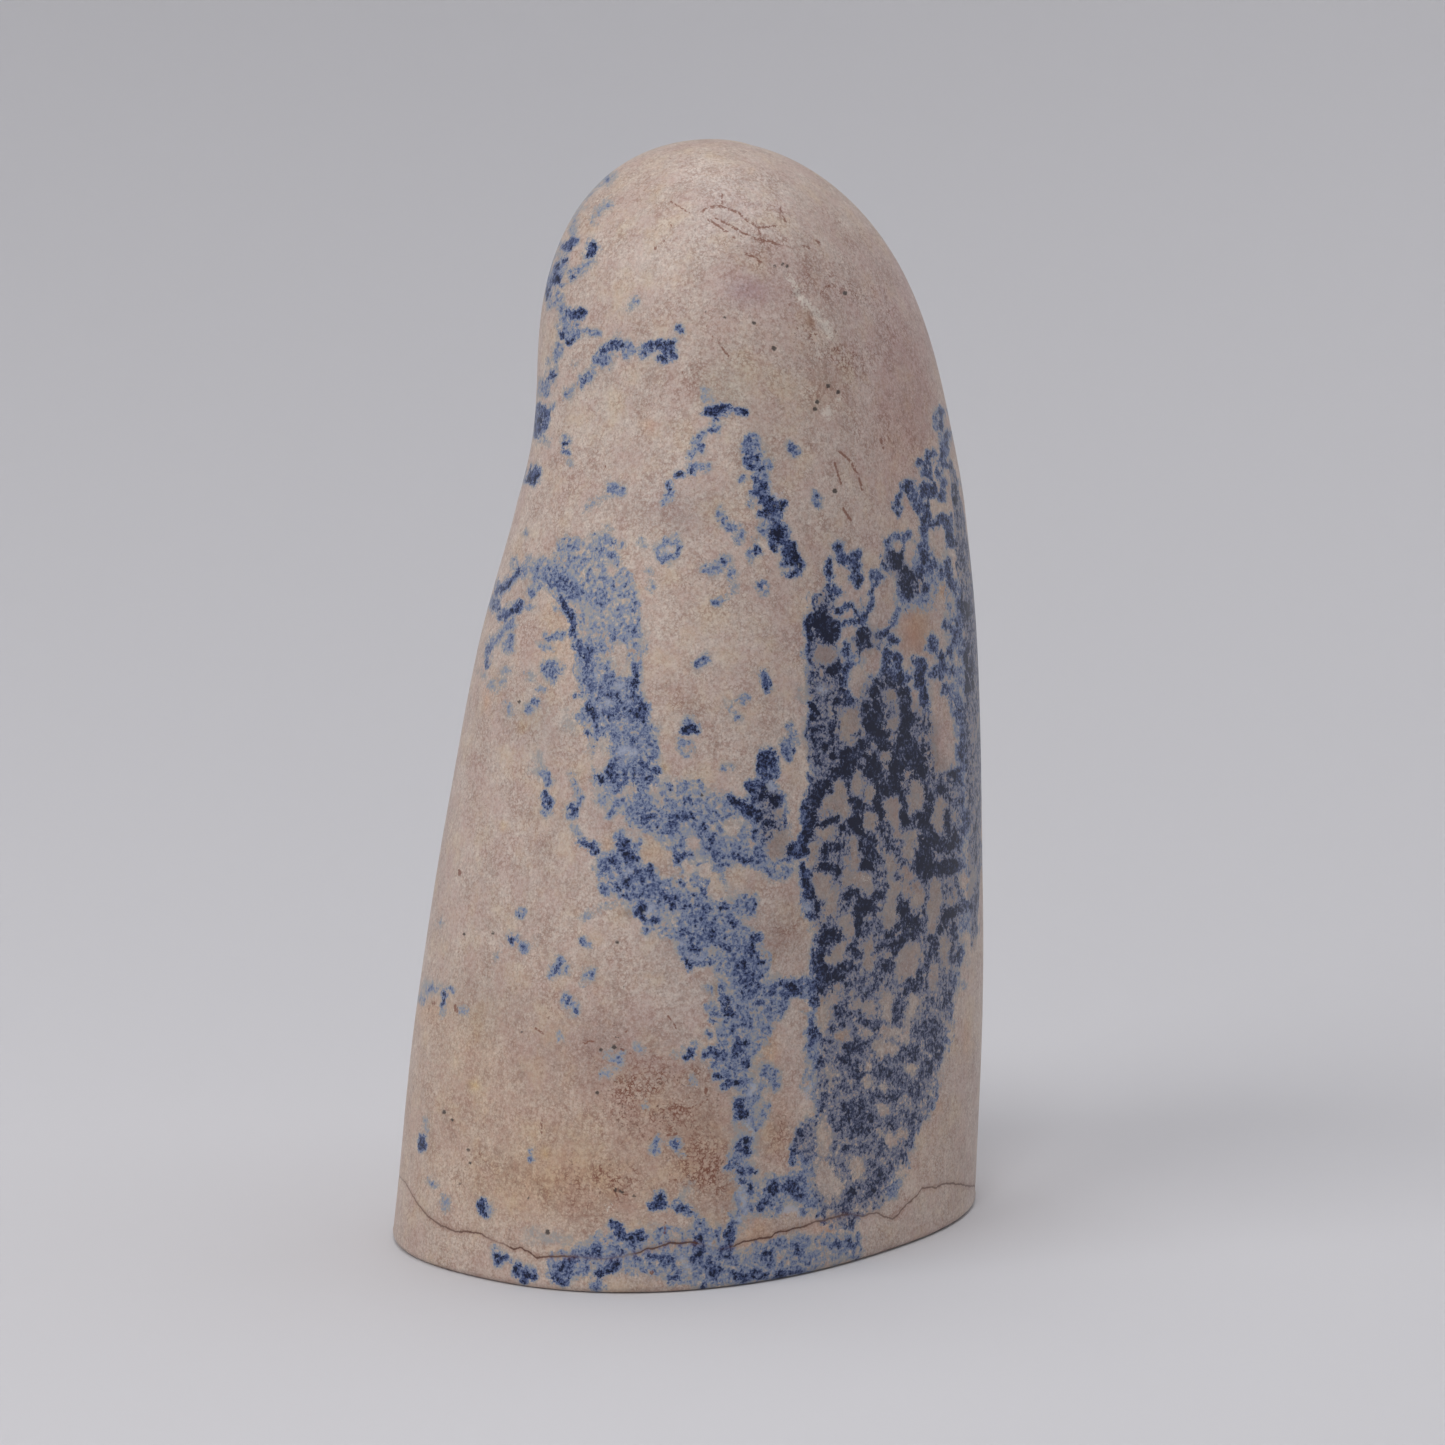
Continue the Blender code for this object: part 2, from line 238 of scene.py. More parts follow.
BLUE_LOW = (
    (560, 961, 3.5, 556, 968, 4, 552, 975, 4), (567, 1001, 5), (575, 1010, 4), (587, 940, 4), (588, 975, 5),
    (423, 1000, 3), (432, 990, 4), (450, 988, 3), (432, 1183, 4), (484, 1209, 6), (524, 946, 4),
    (513, 937, 4), (722, 1062, 10, 732, 1072, 11), (742, 1012, 9, 741, 1030, 9), (695, 1046, 3.5),
    (710, 1037, 3), (618, 1057, 4), (676, 1143, 5), (660, 1143, 4, 657, 1150, 4), (692, 1213, 4),
    (633, 1245, 5, 636, 1241, 5), (594, 1245, 6, 596, 1252, 6), (582, 1254, 4, 590, 1254, 5, 600, 1257, 4),
    (617, 1252, 6), (595, 1288, 3, 600, 1286, 3), (708, 1240, 15, 712, 1255, 17, 712, 1270, 12),
    (700, 1226, 7), (705, 1279, 5), (738, 1277, 5.5), (768, 1258, 6, 770, 1264, 7),
    (785, 1248, 8, 793, 1250, 8), (800, 1234, 5, 806, 1238, 5), (855, 1255, 3.5), (742, 1150, 8),
    (745, 1174, 8), (750, 1195, 5, 750, 1210, 4), (735, 1228, 6), (788, 1182, 8, 798, 1186, 9),
    (815, 1205, 6), (803, 1210, 6), (500, 1258, 7), (528, 1274, 7), (565, 1270, 9), (584, 1251, 7),
    (768, 1108, 6, 766, 1115, 5), (770, 1072, 6, 774, 1088, 6), (750, 1275, 8), (848, 1244, 8),
)
PALE_LOW = (
    (588, 975, 7), (561, 1038, 5), (444, 1012, 4), (463, 1012, 4), (444, 1203, 6, 446, 1210, 5),
    (425, 1130, 3, 427, 1120, 3), (521, 912, 5), (566, 971, 4), (441, 923, 3), (536, 940, 3),
    (637, 1050, 5), (610, 1056, 6), (620, 1065, 3, 610, 1075, 3, 603, 1078, 3), (647, 1107, 4),
    (680, 1153, 4), (670, 1055, 3, 680, 1052, 3), (694, 1081, 5), (597, 1238, 4, 603, 1235, 3),
    (640, 1262, 4), (495, 1250, 4), (862, 1240, 5), (805, 1247, 8), (498, 952, 2, 496, 957, 2),
)
# Whitish flecks that lie over the blue
FLECKS = (
    (652, 354, 3.5), (603, 361, 2.5), (770, 485, 4, 778, 495, 4), (779, 505, 2.5),
    (771, 520, 4, 770, 528, 4), (760, 543, 3), (780, 547, 2.5), (793, 566, 4), (668, 550, 5), (620, 685, 7),
    (610, 705, 7), (622, 750, 6, 634, 752, 6), (600, 674, 4), (606, 690, 4), (630, 702, 4), (626, 718, 5),
    (612, 726, 4), (641, 736, 4), (626, 764, 4), (638, 776, 4), (600, 712, 4), (629, 874, 5),
    (652, 905, 6, 648, 914, 4), (682, 943, 5), (684, 955, 3.5, 692, 958, 3.5, 700, 956, 3.5),
    (730, 1005, 3, 736, 1012, 3.5), (772, 788, 7), (803, 989, 4), (768, 775, 3),
    (752, 1088, 6, 748, 1096, 5), (748, 1122, 4.5, 751, 1134, 4), (740, 1163, 3),
    (737, 1185, 4, 742, 1200, 5, 745, 1212, 4, 738, 1220, 4), (670, 1158, 3),
    (685, 1258, 4, 690, 1266, 4, 684, 1273, 3.5), (710, 1250, 5), (770, 1273, 3.5),
    (788, 1212, 8, 798, 1214, 6), (809, 907, 5), (823, 690, 6), (815, 682, 3), (873, 968, 4),
    (875, 1023, 2.5), (868, 1051, 3), (893, 1066, 3.5), (832, 1050, 3), (812, 1084, 5, 806, 1093, 4),
    (908, 932, 3), (862, 988, 4), (822, 750, 4), (733, 1062, 4), (808, 1145, 4), (716, 940, 5),
)

# The dense mesh on the right: dark strands first, then the windows of rock that it leaves
MESH_TOP = (
    (940, 412, 3, 939, 425, 3), (946, 433, 3.5, 944, 450, 4, 941, 458, 4), (945, 466, 3),
    (919, 462, 2.5, 926, 476, 2.5), (931, 453, 2.5, 928, 475, 2.5), (941, 472, 2.5, 943, 483, 2.5),
    (940, 488, 2.5, 943, 497, 2.5), (905, 490, 5, 912, 482, 4, 915, 492, 5),
    (912, 497, 4, 918, 503, 5, 923, 508, 5), (921, 497, 4, 926, 492, 4, 927, 487, 4),
    (930, 485, 3, 934, 493, 3), (902, 492, 3, 897, 503, 2.5), (898, 511, 3.5), (955, 485, 3, 957, 500, 3),
    (946, 517, 3.5, 950, 530, 3.5), (925, 515, 4, 926, 535, 4, 924, 550, 4, 922, 565, 4, 919, 577, 4),
    (930, 528, 3, 936, 522, 3, 942, 520, 3), (944, 525, 3, 949, 533, 3, 953, 545, 3),
    (930, 556, 2.5, 933, 568, 2.5), (939, 560, 2.5, 939, 575, 2.5), (896, 534, 3.5),
    (889, 540, 3, 890, 550, 3, 895, 555, 3.5, 901, 553, 3.5, 906, 545, 3, 907, 537, 3), (905, 541, 3.5),
    (897, 562, 8), (909, 575, 8), (903, 585, 5, 905, 592, 5), (917, 577, 4), (878, 577, 5),
    (877, 585, 3.5, 873, 595, 3.5, 868, 605, 3), (848, 557, 4.5, 858, 555, 4.5), (853, 563, 4, 856, 570, 4),
    (857, 580, 6), (838, 545, 5, 841, 556, 6), (843, 560, 4, 850, 557, 4),
    (947, 560, 3, 949, 575, 3.5, 952, 590, 3.5), (960, 590, 3, 963, 600, 3), (925, 590, 3.5, 930, 586, 3.5),
    (820, 620, 9, 831, 632, 10), (812, 618, 3.5, 811, 640, 3.5, 808, 655, 3.5),
    (823, 605, 3.5, 822, 612, 3.5), (836, 594, 4.5), (830, 590, 3), (832, 580, 2.5, 828, 588, 2.5),
    (829, 562, 2.5, 827, 575, 2.5), (828, 672, 4.5, 838, 668, 4.5), (840, 612, 4, 846, 608, 4, 853, 606, 4),
    (858, 612, 3.5, 857, 618, 3.5), (846, 625, 4, 852, 622, 4), (862, 617, 5),
    (866, 608, 3.5, 870, 600, 3.5, 874, 595, 3.5), (861, 630, 5, 866, 635, 6), (866, 645, 6),
    (849, 643, 3, 847, 655, 2.5), (895, 612, 3.5, 892, 622, 3.5, 888, 632, 4, 882, 637, 4), (893, 640, 3.5),
    (888, 652, 4.5, 886, 662, 4.5),
)
MESH_CORE = (
    (897, 655, 4.5, 898, 668, 4.5, 900, 680, 5), (908, 674, 4.5), (905, 690, 5.5, 903, 720, 6, 906, 740, 6),
    (912, 725, 5.5), (905, 747, 13, 913, 752, 12), (922, 760, 6, 925, 775, 5.5), (862, 745, 7, 872, 760, 6),
    (915, 785, 8, 926, 796, 6), (880, 742, 6), (858, 768, 7), (930, 748, 5, 929, 768, 5),
    (886, 672, 5, 893, 690, 5), (940, 655, 4, 944, 672, 4), (951, 690, 4, 953, 705, 4), (912, 718, 6),
    (914, 658, 2.5, 917, 664, 2.5), (922, 668, 6, 921, 682, 6, 923, 700, 6),
    (929, 703, 3.5, 931, 715, 3.5, 930, 733, 3.5), (933, 638, 3, 931, 650, 3), (937, 658, 2.5),
    (934, 676, 4, 940, 668, 4), (945, 688, 4), (953, 670, 4), (960, 682, 3),
    (960, 600, 3, 962, 612, 3, 960, 625, 3, 955, 640, 3, 950, 655, 3),
    (966, 605, 3, 969, 612, 3, 967, 618, 3), (948, 620, 3, 953, 630, 3),
    (965, 645, 3, 968, 660, 3, 970, 690, 3), (962, 705, 3, 964, 715, 3, 962, 745, 3, 963, 760, 3),
    (957, 712, 3), (957, 748, 3), (962, 768, 4, 955, 775, 4.5), (865, 706, 5.5), (875, 702, 4, 880, 710, 4),
    (874, 718, 9, 880, 728, 11, 876, 734, 9), (872, 738, 6), (868, 745, 4, 862, 755, 4),
    (875, 680, 3.5, 873, 692, 5), (884, 683, 3.5, 888, 676, 4), (893, 675, 4),
    (849, 665, 3.5, 846, 672, 3.5), (846, 680, 5.5, 846, 700, 5.5), (812, 712, 5), (808, 705, 3.5),
    (815, 730, 4), (832, 728, 4.5), (835, 703, 4.5, 842, 702, 4.5), (826, 745, 4), (832, 755, 4),
    (850, 755, 11, 850, 768, 10), (885, 748, 6), (890, 757, 8), (875, 768, 7), (870, 774, 5),
    (893, 765, 12, 908, 768, 12), (900, 785, 12, 890, 790, 8), (811, 779, 3.5), (820, 760, 3.5),
    (840, 772, 5, 830, 780, 6, 822, 788, 6, 815, 798, 7, 811, 810, 8, 809, 822, 8, 808, 832, 7, 803,
     842, 6), (790, 850, 9, 800, 848, 8, 808, 852, 6), (818, 826, 4, 828, 822, 4, 836, 819, 4),
    (843, 828, 4), (832, 848, 6, 824, 852, 5), (838, 843, 5),
    (818, 873, 4, 823, 866, 5, 833, 866, 5, 839, 873, 4), (803, 868, 5, 806, 882, 5.5, 805, 893, 5),
    (800, 897, 3.5, 800, 915, 3.5, 815, 917, 3.5, 820, 905, 4, 815, 893, 4), (868, 845, 9, 872, 855, 7),
    (868, 865, 6), (855, 822, 7, 862, 832, 6), (880, 825, 7, 884, 815, 5, 892, 815, 4),
    (903, 815, 5, 910, 820, 5), (855, 802, 7, 862, 806, 6), (846, 785, 4, 848, 795, 4.5),
    (877, 780, 4, 877, 800, 4.5, 880, 815, 5), (906, 785, 3.5, 903, 797, 3.5, 905, 808, 4),
    (928, 805, 5, 927, 815, 5.5, 925, 830, 6, 924, 850, 6, 926, 865, 6), (942, 790, 6),
    (946, 812, 3.5, 946, 822, 4, 948, 832, 3.5), (930, 840, 8, 945, 845, 8, 955, 842, 6),
    (925, 870, 9, 940, 872, 9, 955, 865, 7), (958, 775, 4, 962, 785, 4),
    (962, 800, 3.5, 966, 815, 3.5, 962, 828, 3), (910, 854, 3), (766, 755, 8, 768, 765, 11, 770, 774, 10),
    (764, 788, 7), (776, 800, 6), (772, 783, 3), (780, 797, 3), (783, 795, 3), (752, 787, 6, 757, 795, 7),
    (727, 793, 4, 735, 798, 4, 742, 805, 5, 750, 812, 6, 758, 817, 6), (768, 825, 4.5), (757, 822, 4),
    (755, 837, 4.5), (793, 748, 3), (900, 880, 3.5), (845, 898, 4, 855, 893, 4), (880, 893, 5, 872, 898, 5),
    (898, 895, 4),
)
MESH_FOOT = (
    (822, 937, 8, 835, 936, 8), (820, 950, 7, 818, 960, 6), (822, 972, 8, 835, 974, 9, 848, 968, 8),
    (818, 985, 8, 828, 990, 8), (815, 1000, 6, 820, 1003, 5), (836, 1010, 7), (844, 1003, 5), (850, 985, 3),
    (862, 995, 3), (872, 990, 3.5), (878, 978, 3), (852, 945, 5, 856, 953, 5), (848, 950, 4), (887, 965, 8),
    (882, 948, 5), (893, 950, 6, 903, 941, 5), (888, 905, 3), (890, 933, 4.5, 895, 927, 4.5),
    (867, 900, 5, 861, 910, 6, 858, 922, 6, 858, 932, 5),
    (903, 905, 5, 905, 918, 7, 912, 928, 9, 905, 935, 8), (898, 900, 3.5, 899, 925, 4.5), (910, 987, 7.5),
    (917, 972, 4, 913, 985, 5), (928, 965, 3, 925, 985, 3.5), (903, 1000, 4.5, 899, 1015, 4.5),
    (911, 1027, 4.5, 909, 1033, 3.5), (921, 1025, 4.5, 922, 1033, 5), (903, 1050, 4.5),
    (912, 1055, 6.5, 915, 1050, 5), (927, 1045, 3.5), (866, 1020, 6, 877, 1025, 7), (880, 1035, 5),
    (852, 1050, 7.5), (858, 1042, 5, 866, 1050, 6), (856, 1072, 8, 862, 1065, 6),
    (880, 1068, 9, 888, 1075, 7), (897, 1060, 5), (890, 1095, 8, 878, 1097, 7), (855, 1110, 14),
    (868, 1100, 10), (850, 1128, 9), (862, 1125, 8), (873, 1118, 7), (872, 1135, 4.5),
    (843, 1085, 5, 848, 1091, 5), (838, 1118, 3.5, 838, 1128, 3), (797, 1130, 3.5, 804, 1133, 3.5),
    (794, 1151, 4.5, 790, 1158, 4.5), (848, 1148, 5), (861, 1148, 4.5), (873, 1165, 6.5),
    (884, 1145, 5, 880, 1152, 5), (895, 1128, 5.5, 890, 1120, 4),
    (916, 1117, 4, 912, 1130, 4, 912, 1145, 4.5),
    (880, 1170, 4, 882, 1178, 4.5, 875, 1186, 4.5, 868, 1194, 4),
    (857, 1188, 6, 855, 1195, 6, 847, 1204, 5.5, 842, 1210, 5), (852, 1215, 4.5, 849, 1224, 4.5),
    (862, 1197, 4), (927, 1063, 4.5, 922, 1080, 5, 919, 1092, 5, 918, 1099, 3.5), (908, 1078, 4),
    (912, 1087, 4.5), (963, 900, 4, 968, 908, 4), (955, 905, 6, 950, 912, 6),
    (943, 915, 4.5, 941, 930, 4.5), (952, 925, 5, 955, 935, 5), (932, 935, 4, 936, 950, 5),
    (951, 945, 3.5, 953, 960, 3.5), (960, 948, 3.5, 961, 962, 3), (948, 995, 4, 945, 1005, 4),
    (937, 1020, 3.5, 938, 1035, 3.5, 939, 1050, 3.5), (936, 1057, 4.5),
    (815, 1022, 4, 814, 1034, 5, 810, 1044, 4), (830, 1028, 4), (843, 1060, 4), (822, 1064, 4),
    (868, 1105, 8), (902, 1092, 4), (905, 1115, 4),
)
MESH_BLUE = (
    (818, 712, 13, 822, 730, 13, 822, 750, 12), (822, 765, 12), (823, 690, 11), (810, 662, 5, 815, 672, 5),
    (785, 745, 5, 788, 757, 5), (809, 905, 10), (762, 808, 11), (756, 832, 7, 757, 858, 6), (830, 922, 8),
    (871, 925, 4.5, 866, 937, 5), (845, 900, 6), (890, 990, 6.5), (898, 1022, 3.5),
    (845, 990, 8, 862, 988, 9, 877, 985, 8), (830, 1054, 7), (822, 1062, 4), (967, 918, 4, 965, 928, 4),
    (955, 975, 4.5, 953, 985, 4.5), (962, 988, 3), (806, 1130, 8, 808, 1150, 12, 806, 1165, 9),
    (820, 1156, 4, 838, 1158, 4.5), (843, 1165, 3.5, 848, 1178, 3.5), (885, 1152, 6, 900, 1155, 6),
    (868, 775, 4, 872, 787, 3.5), (850, 1145, 7), (820, 1105, 4, 835, 1110, 5), (928, 1085, 3),
    (816, 855, 10), (845, 870, 8), (858, 895, 10), (870, 1010, 14, 866, 1040, 12, 860, 1080, 14),
    (893, 1190, 5), (938, 985, 3.5), (835, 860, 8), (895, 1080, 12), (840, 1030, 6),
)
WINDOWS_TOP = (
    (519, 584, 3, 514, 594, 3, 506, 602, 3), (608, 570, 6), (617, 597, 3), (620, 652, 8, 622, 668, 9),
    (572, 684, 6), (578, 707, 5), (597, 760, 9, 600, 748, 8, 603, 740, 6),
    (592, 810, 5, 590, 825, 8, 604, 830, 10, 609, 845, 8), (628, 789, 7), (655, 793, 5, 661, 803, 4),
    (647, 836, 6, 650, 850, 11, 662, 856, 11), (690, 842, 6, 700, 845, 4), (688, 866, 4, 689, 871, 4),
    (664, 873, 6, 676, 873, 6), (706, 873, 7), (733, 828, 9), (787, 772, 8, 788, 782, 7),
    (782, 835, 8, 775, 848, 11), (708, 970, 5), (740, 873, 12, 748, 890, 8), (713, 1228, 4.5),
    (607, 1245, 4), (898, 545, 5), (911, 548, 4, 912, 562, 4), (937, 540, 6, 937, 556, 6), (850, 614, 5),
    (851, 630, 6), (884, 595, 9, 884, 620, 9), (873, 655, 7, 873, 668, 7), (914, 620, 11, 914, 650, 9),
    (913, 690, 4, 914, 705, 4), (942, 705, 12, 942, 760, 12), (890, 695, 7), (890, 725, 6),
    (858, 670, 7, 858, 690, 7), (849, 715, 7, 848, 735, 7), (826, 653, 11),
    (803, 745, 6, 800, 762, 8, 793, 778, 9, 790, 790, 6), (870, 753, 3), (886, 752, 2, 886, 770, 3),
)
WINDOWS_LOW = (
    (838, 790, 8, 835, 802, 11, 845, 808, 6), (822, 833, 5, 831, 832, 6), (815, 846, 4, 814, 865, 5),
    (822, 880, 8, 824, 892, 7), (854, 845, 5, 856, 862, 6), (848, 875, 7, 862, 880, 8, 868, 888, 5),
    (872, 815, 4, 870, 828, 4), (890, 805, 7, 893, 820, 7, 897, 832, 5), (858, 778, 5.5, 858, 790, 6),
    (871, 785, 3, 871, 797, 3.5), (910, 772, 3, 907, 785, 3), (918, 790, 7, 916, 805, 7),
    (939, 805, 5, 938, 825, 5), (912, 838, 6, 910, 852, 7), (889, 857, 5, 893, 868, 5),
    (906, 875, 6, 906, 888, 5), (895, 885, 5, 892, 905, 6, 890, 920, 7),
    (935, 885, 5, 933, 905, 7, 932, 925, 6), (917, 885, 4, 916, 905, 5), (953, 900, 4.5),
    (832, 898, 5, 831, 910, 6), (848, 918, 5, 847, 932, 7), (842, 947, 5, 837, 955, 7, 830, 963, 5),
    (838, 984, 3, 832, 993, 3.5, 826, 1004, 4, 822, 1016, 4.5, 821, 1030, 4), (855, 1005, 5, 872, 1007, 6),
    (868, 948, 6, 868, 962, 6), (885, 956, 4), (912, 948, 7, 906, 962, 11, 904, 972, 7),
    (892, 998, 5, 888, 1012, 6), (914, 1000, 5, 908, 1020, 4.5, 907, 1040, 4.5), (867, 1032, 5),
    (884, 1032, 5, 896, 1032, 6), (880, 1047, 7, 895, 1048, 5), (842, 1035, 8), (868, 1066, 4.5),
    (868, 1083, 6), (885, 1088, 5), (909, 1070, 4), (885, 1110, 5), (825, 1130, 6, 824, 1148, 7),
    (824, 1175, 12, 830, 1188, 12), (857, 1165, 7, 856, 1176, 6), (893, 1140, 7), (905, 1133, 4.5),
    (946, 945, 4, 945, 965, 4), (934, 965, 4, 932, 985, 4), (784, 902, 19, 786, 938, 22, 787, 952, 16),
    (798, 1020, 7, 790, 1035, 16, 790, 1055, 17, 795, 1075, 12),
    (785, 1110, 16, 778, 1135, 15, 776, 1160, 13),
)

# Small dark specks, and red-brown hairlines and specks
SPECKS = (
    (617, 942, 2), (623, 987, 1.8), (774, 348, 2.6), (835, 491, 2.4), (628, 1163, 1.5), (521, 1032, 1.6),
    (614, 1047, 2.4), (601, 1050, 2), (617, 1037, 1.6), (493, 933, 1.6), (464, 934, 1.5), (547, 1232, 2.6),
    (510, 1231, 1.6), (528, 1198, 1.6), (468, 1150, 1.6), (470, 1163, 1.6), (460, 1184, 1.5),
    (444, 1112, 2), (452, 1120, 1.6), (725, 317, 1.6), (754, 323, 2), (845, 293, 2.2), (828, 386, 2),
    (838, 392, 1.8), (817, 402, 2), (815, 409, 2), (616, 1190, 2), (622, 1192, 2), (634, 1196, 1.8),
    (702, 795, 2), (519, 702, 1.6), (706, 312, 1.4), (597, 1093, 2), (783, 264, 1.6), (787, 266, 1.5),
    (775, 266, 1.6),
)
RUST_LINES = (
    (668, 1015, 0.8, 672, 1022, 0.8, 679, 1031, 0.8), (582, 1044, 0.9, 590, 1041, 0.9, 595, 1043, 0.9),
    (621, 1036, 0.8, 629, 1030, 0.8), (621, 1049, 0.9, 631, 1054, 0.9),
    (672, 1095, 0.8, 674, 1102, 0.8, 676, 1108, 1, 680, 1120, 1.1, 679, 1128, 1),
    (665, 1111, 0.8, 676, 1108, 0.9, 683, 1109, 0.8, 690, 1108, 0.9, 700, 1105, 1, 708, 1100, 0.9),
    (680, 1120, 0.9, 688, 1128, 0.8, 700, 1127, 0.8), (668, 1135, 1.3, 676, 1134, 1.2),
    (706, 1088, 1.7, 706, 1094, 1.5), (635, 1088, 0.9, 642, 1093, 0.9, 646, 1098, 0.9), (670, 1174, 1.6),
    (668, 1180, 1.1, 677, 1180, 1.1), (699, 1160, 0.8, 700, 1170, 0.9, 698, 1182, 1.2),
    (665, 1222, 1, 665, 1234, 0.9), (652, 1273, 2.2), (455, 1006, 1.8, 456, 1011, 1.6), (433, 1003, 1.8),
    (429, 1010, 1.6), (459, 870, 1.3, 459, 875, 1.3), (535, 1028, 1, 543, 1034, 0.9), (667, 682, 1.6),
    (671, 225, 1.5), (655, 248, 2), (664, 241, 1.4), (636, 395, 1.3), (683, 372, 1.3), (605, 466, 1.3),
    (541, 1120, 0.8, 541, 1134, 0.8), (600, 1165, 1.1, 601, 1176, 1),
    (612, 1183, 1, 616, 1196, 1, 628, 1195, 0.9),
)
DOME_LINES = (
    (700, 213, 1, 706, 208, 1, 718, 206, 1, 727, 208, 1, 738, 212, 1, 747, 220, 1, 754, 224, 1, 760,
     227, 1, 778, 226, 1), (759, 228, 1, 760, 235, 1), (708, 219, 1, 720, 227, 1, 735, 238, 1),
    (716, 218, 1, 728, 224, 1, 740, 231, 1, 757, 239, 1, 770, 241, 1, 782, 246, 1),
    (745, 253, 1, 755, 257, 1, 762, 263, 1), (722, 193, 0.8, 722, 205, 0.8), (780, 207, 0.8, 787, 225, 0.8),
    (670, 201, 0.7, 690, 213, 0.7), (705, 323, 0.8, 713, 337, 0.8), (718, 342, 0.8, 729, 357, 0.8),
    (835, 463, 1, 841, 484, 1), (838, 450, 1, 850, 460, 1, 858, 475, 1, 863, 490, 1),
    (843, 508, 1, 851, 520, 1), (880, 436, 1, 884, 448, 1), (817, 240, 1, 821, 244, 1),
    (803, 246, 1, 812, 248, 1), (821, 295, 1, 824, 288, 1, 833, 284, 1),
)
# Rough cream-coloured streaks where the polish has picked out soft grains
CREAM = (
    (790, 275, 4, 800, 297, 5, 815, 311, 5, 825, 324, 5, 832, 337, 4), (828, 412, 8), (812, 390, 4),
    (865, 879, 3), (840, 398, 4), (609, 1208, 4), (700, 883, 3),
)

# The healed crack above the foot, as the photograph shows it from left to right: x, y
CRACK_LINE = (
    (398, 1176), (405, 1183), (412, 1196), (420, 1208), (428, 1217), (436, 1223), (446, 1228), (456, 1232),
    (465, 1231), (480, 1234), (492, 1240), (507, 1246), (513, 1249), (520, 1248), (528, 1252), (536, 1258),
    (545, 1257), (560, 1256), (590, 1258), (600, 1260), (620, 1257), (640, 1253), (648, 1249), (656, 1249),
    (662, 1246), (670, 1243), (680, 1244), (690, 1242), (700, 1244), (720, 1249), (733, 1247), (745, 1242),
    (760, 1239), (772, 1237), (777, 1232), (785, 1231), (796, 1229), (808, 1225), (815, 1222), (825, 1221),
    (835, 1217), (842, 1215), (852, 1214), (863, 1217), (870, 1214), (878, 1213), (885, 1217), (893, 1219),
    (898, 1216), (905, 1207), (918, 1196), (922, 1189), (930, 1187), (937, 1188), (943, 1184), (958, 1184),
    (968, 1186),
)
# How plainly the crack shows along the way: x, share
CRACK_SHOWS = (
    (398, 0.5), (412, 0.7), (480, 0.9), (492, 0.35), (504, 0.5), (510, 1.0), (565, 0.9), (580, 0.3),
    (630, 0.4), (640, 1.0), (695, 1.0), (703, 0.15), (728, 0.2), (736, 1.0), (800, 1.0), (812, 0.8),
    (845, 0.8), (852, 0.3), (862, 0.7), (968, 0.8),
)
# Round the far side: heading in degrees, height in millimetres, share
CRACK_BEHIND = (
    (-60, 3.6, 0.8), (-50, 3.4, 0.8), (-35, 4.4, 0.9), (-22, 5.4, 0.8), (-10, 5.0, 0.6), (4, 6.6, 0.7),
    (18, 7.2, 0.4), (34, 8.2, 0.0), (60, 9.0, 0.0), (78, 9.6, 0.1), (92, 9.0, 0.5), (104, 9.6, 0.8),
    (116, 8.4, 0.6), (130, 7.6, 0.6), (140, 7.0, 0.5),
)

# Marks on the sides that the photograph doesn't show: heading in degrees, height and half width in mm
NAVY_BEHIND = (
    (118, 92, 0.6, 113, 95, 0.8), (108, 90, 0.7), (121, 84, 0.7, 117, 80, 0.6), (104, 84, 0.6),
    (98, 76, 0.8, 95, 73, 0.8), (88, 70, 0.7), (104, 66, 0.6), (80, 64, 0.9, 76, 60, 0.8), (70, 58, 0.7),
    (84, 55, 0.6), (66, 50, 0.9), (60, 46, 0.8, 57, 42, 0.8), (72, 42, 0.6), (50, 36, 0.8),
    (58, 30, 0.8, 54, 27, 0.7), (44, 26, 0.7), (62, 22, 0.6), (48, 18, 0.8), (38, 12, 0.7), (55, 10, 0.6),
    (44, 4, 0.8), (122, 58, 0.7), (118, 50, 0.7), (112, 30, 0.6), (100, 18, 0.6), (28, 98, 0.6),
    (20, 104, 0.5), (35, 88, 0.5), (92, 100, 0.6), (-2, 62, 0.6), (12, 48, 0.7, 8, 45, 0.6), (2, 30, 0.6),
    (22, 34, 0.5), (-34, 66, 0.9, -32, 60, 0.9), (-30, 52, 0.8), (-22, 44, 0.7), (-12, 36, 0.6),
)
BLUE_BEHIND = (
    (124, 88, 1.2, 114, 93, 1.5, 105, 86, 1.2), (100, 80, 1.3, 92, 72, 1.6), (84, 66, 1.7, 78, 60, 2.0),
    (74, 55, 1.5, 66, 51, 1.9, 62, 46, 1.8), (60, 38, 1.5, 55, 33, 2.2), (50, 27, 1.8, 48, 21, 1.7),
    (44, 12, 2.0, 41, 5, 2.2), (128, 60, 1.4, 121, 56, 1.6), (116, 50, 1.1), (112, 31, 1.0), (100, 18, 1.0),
    (90, 4, 1.4, 82, 2, 1.2), (10, 47, 1.1), (0, 61, 0.9), (3, 30, 0.9), (-34, 62, 1.6), (-22, 46, 1.2),
)
PALE_BEHIND = (
    (70, 46, 2.0, 64, 36, 2.2, 58, 22, 2.0), (88, 62, 1.8), (98, 70, 1.4), (60, 8, 1.8),
    (125, 55, 1.6, 116, 60, 1.6), (116, 32, 1.2), (30, 96, 1.0), (92, 99, 1.0), (14, 44, 1.6),
    (-6, 58, 1.4),
)
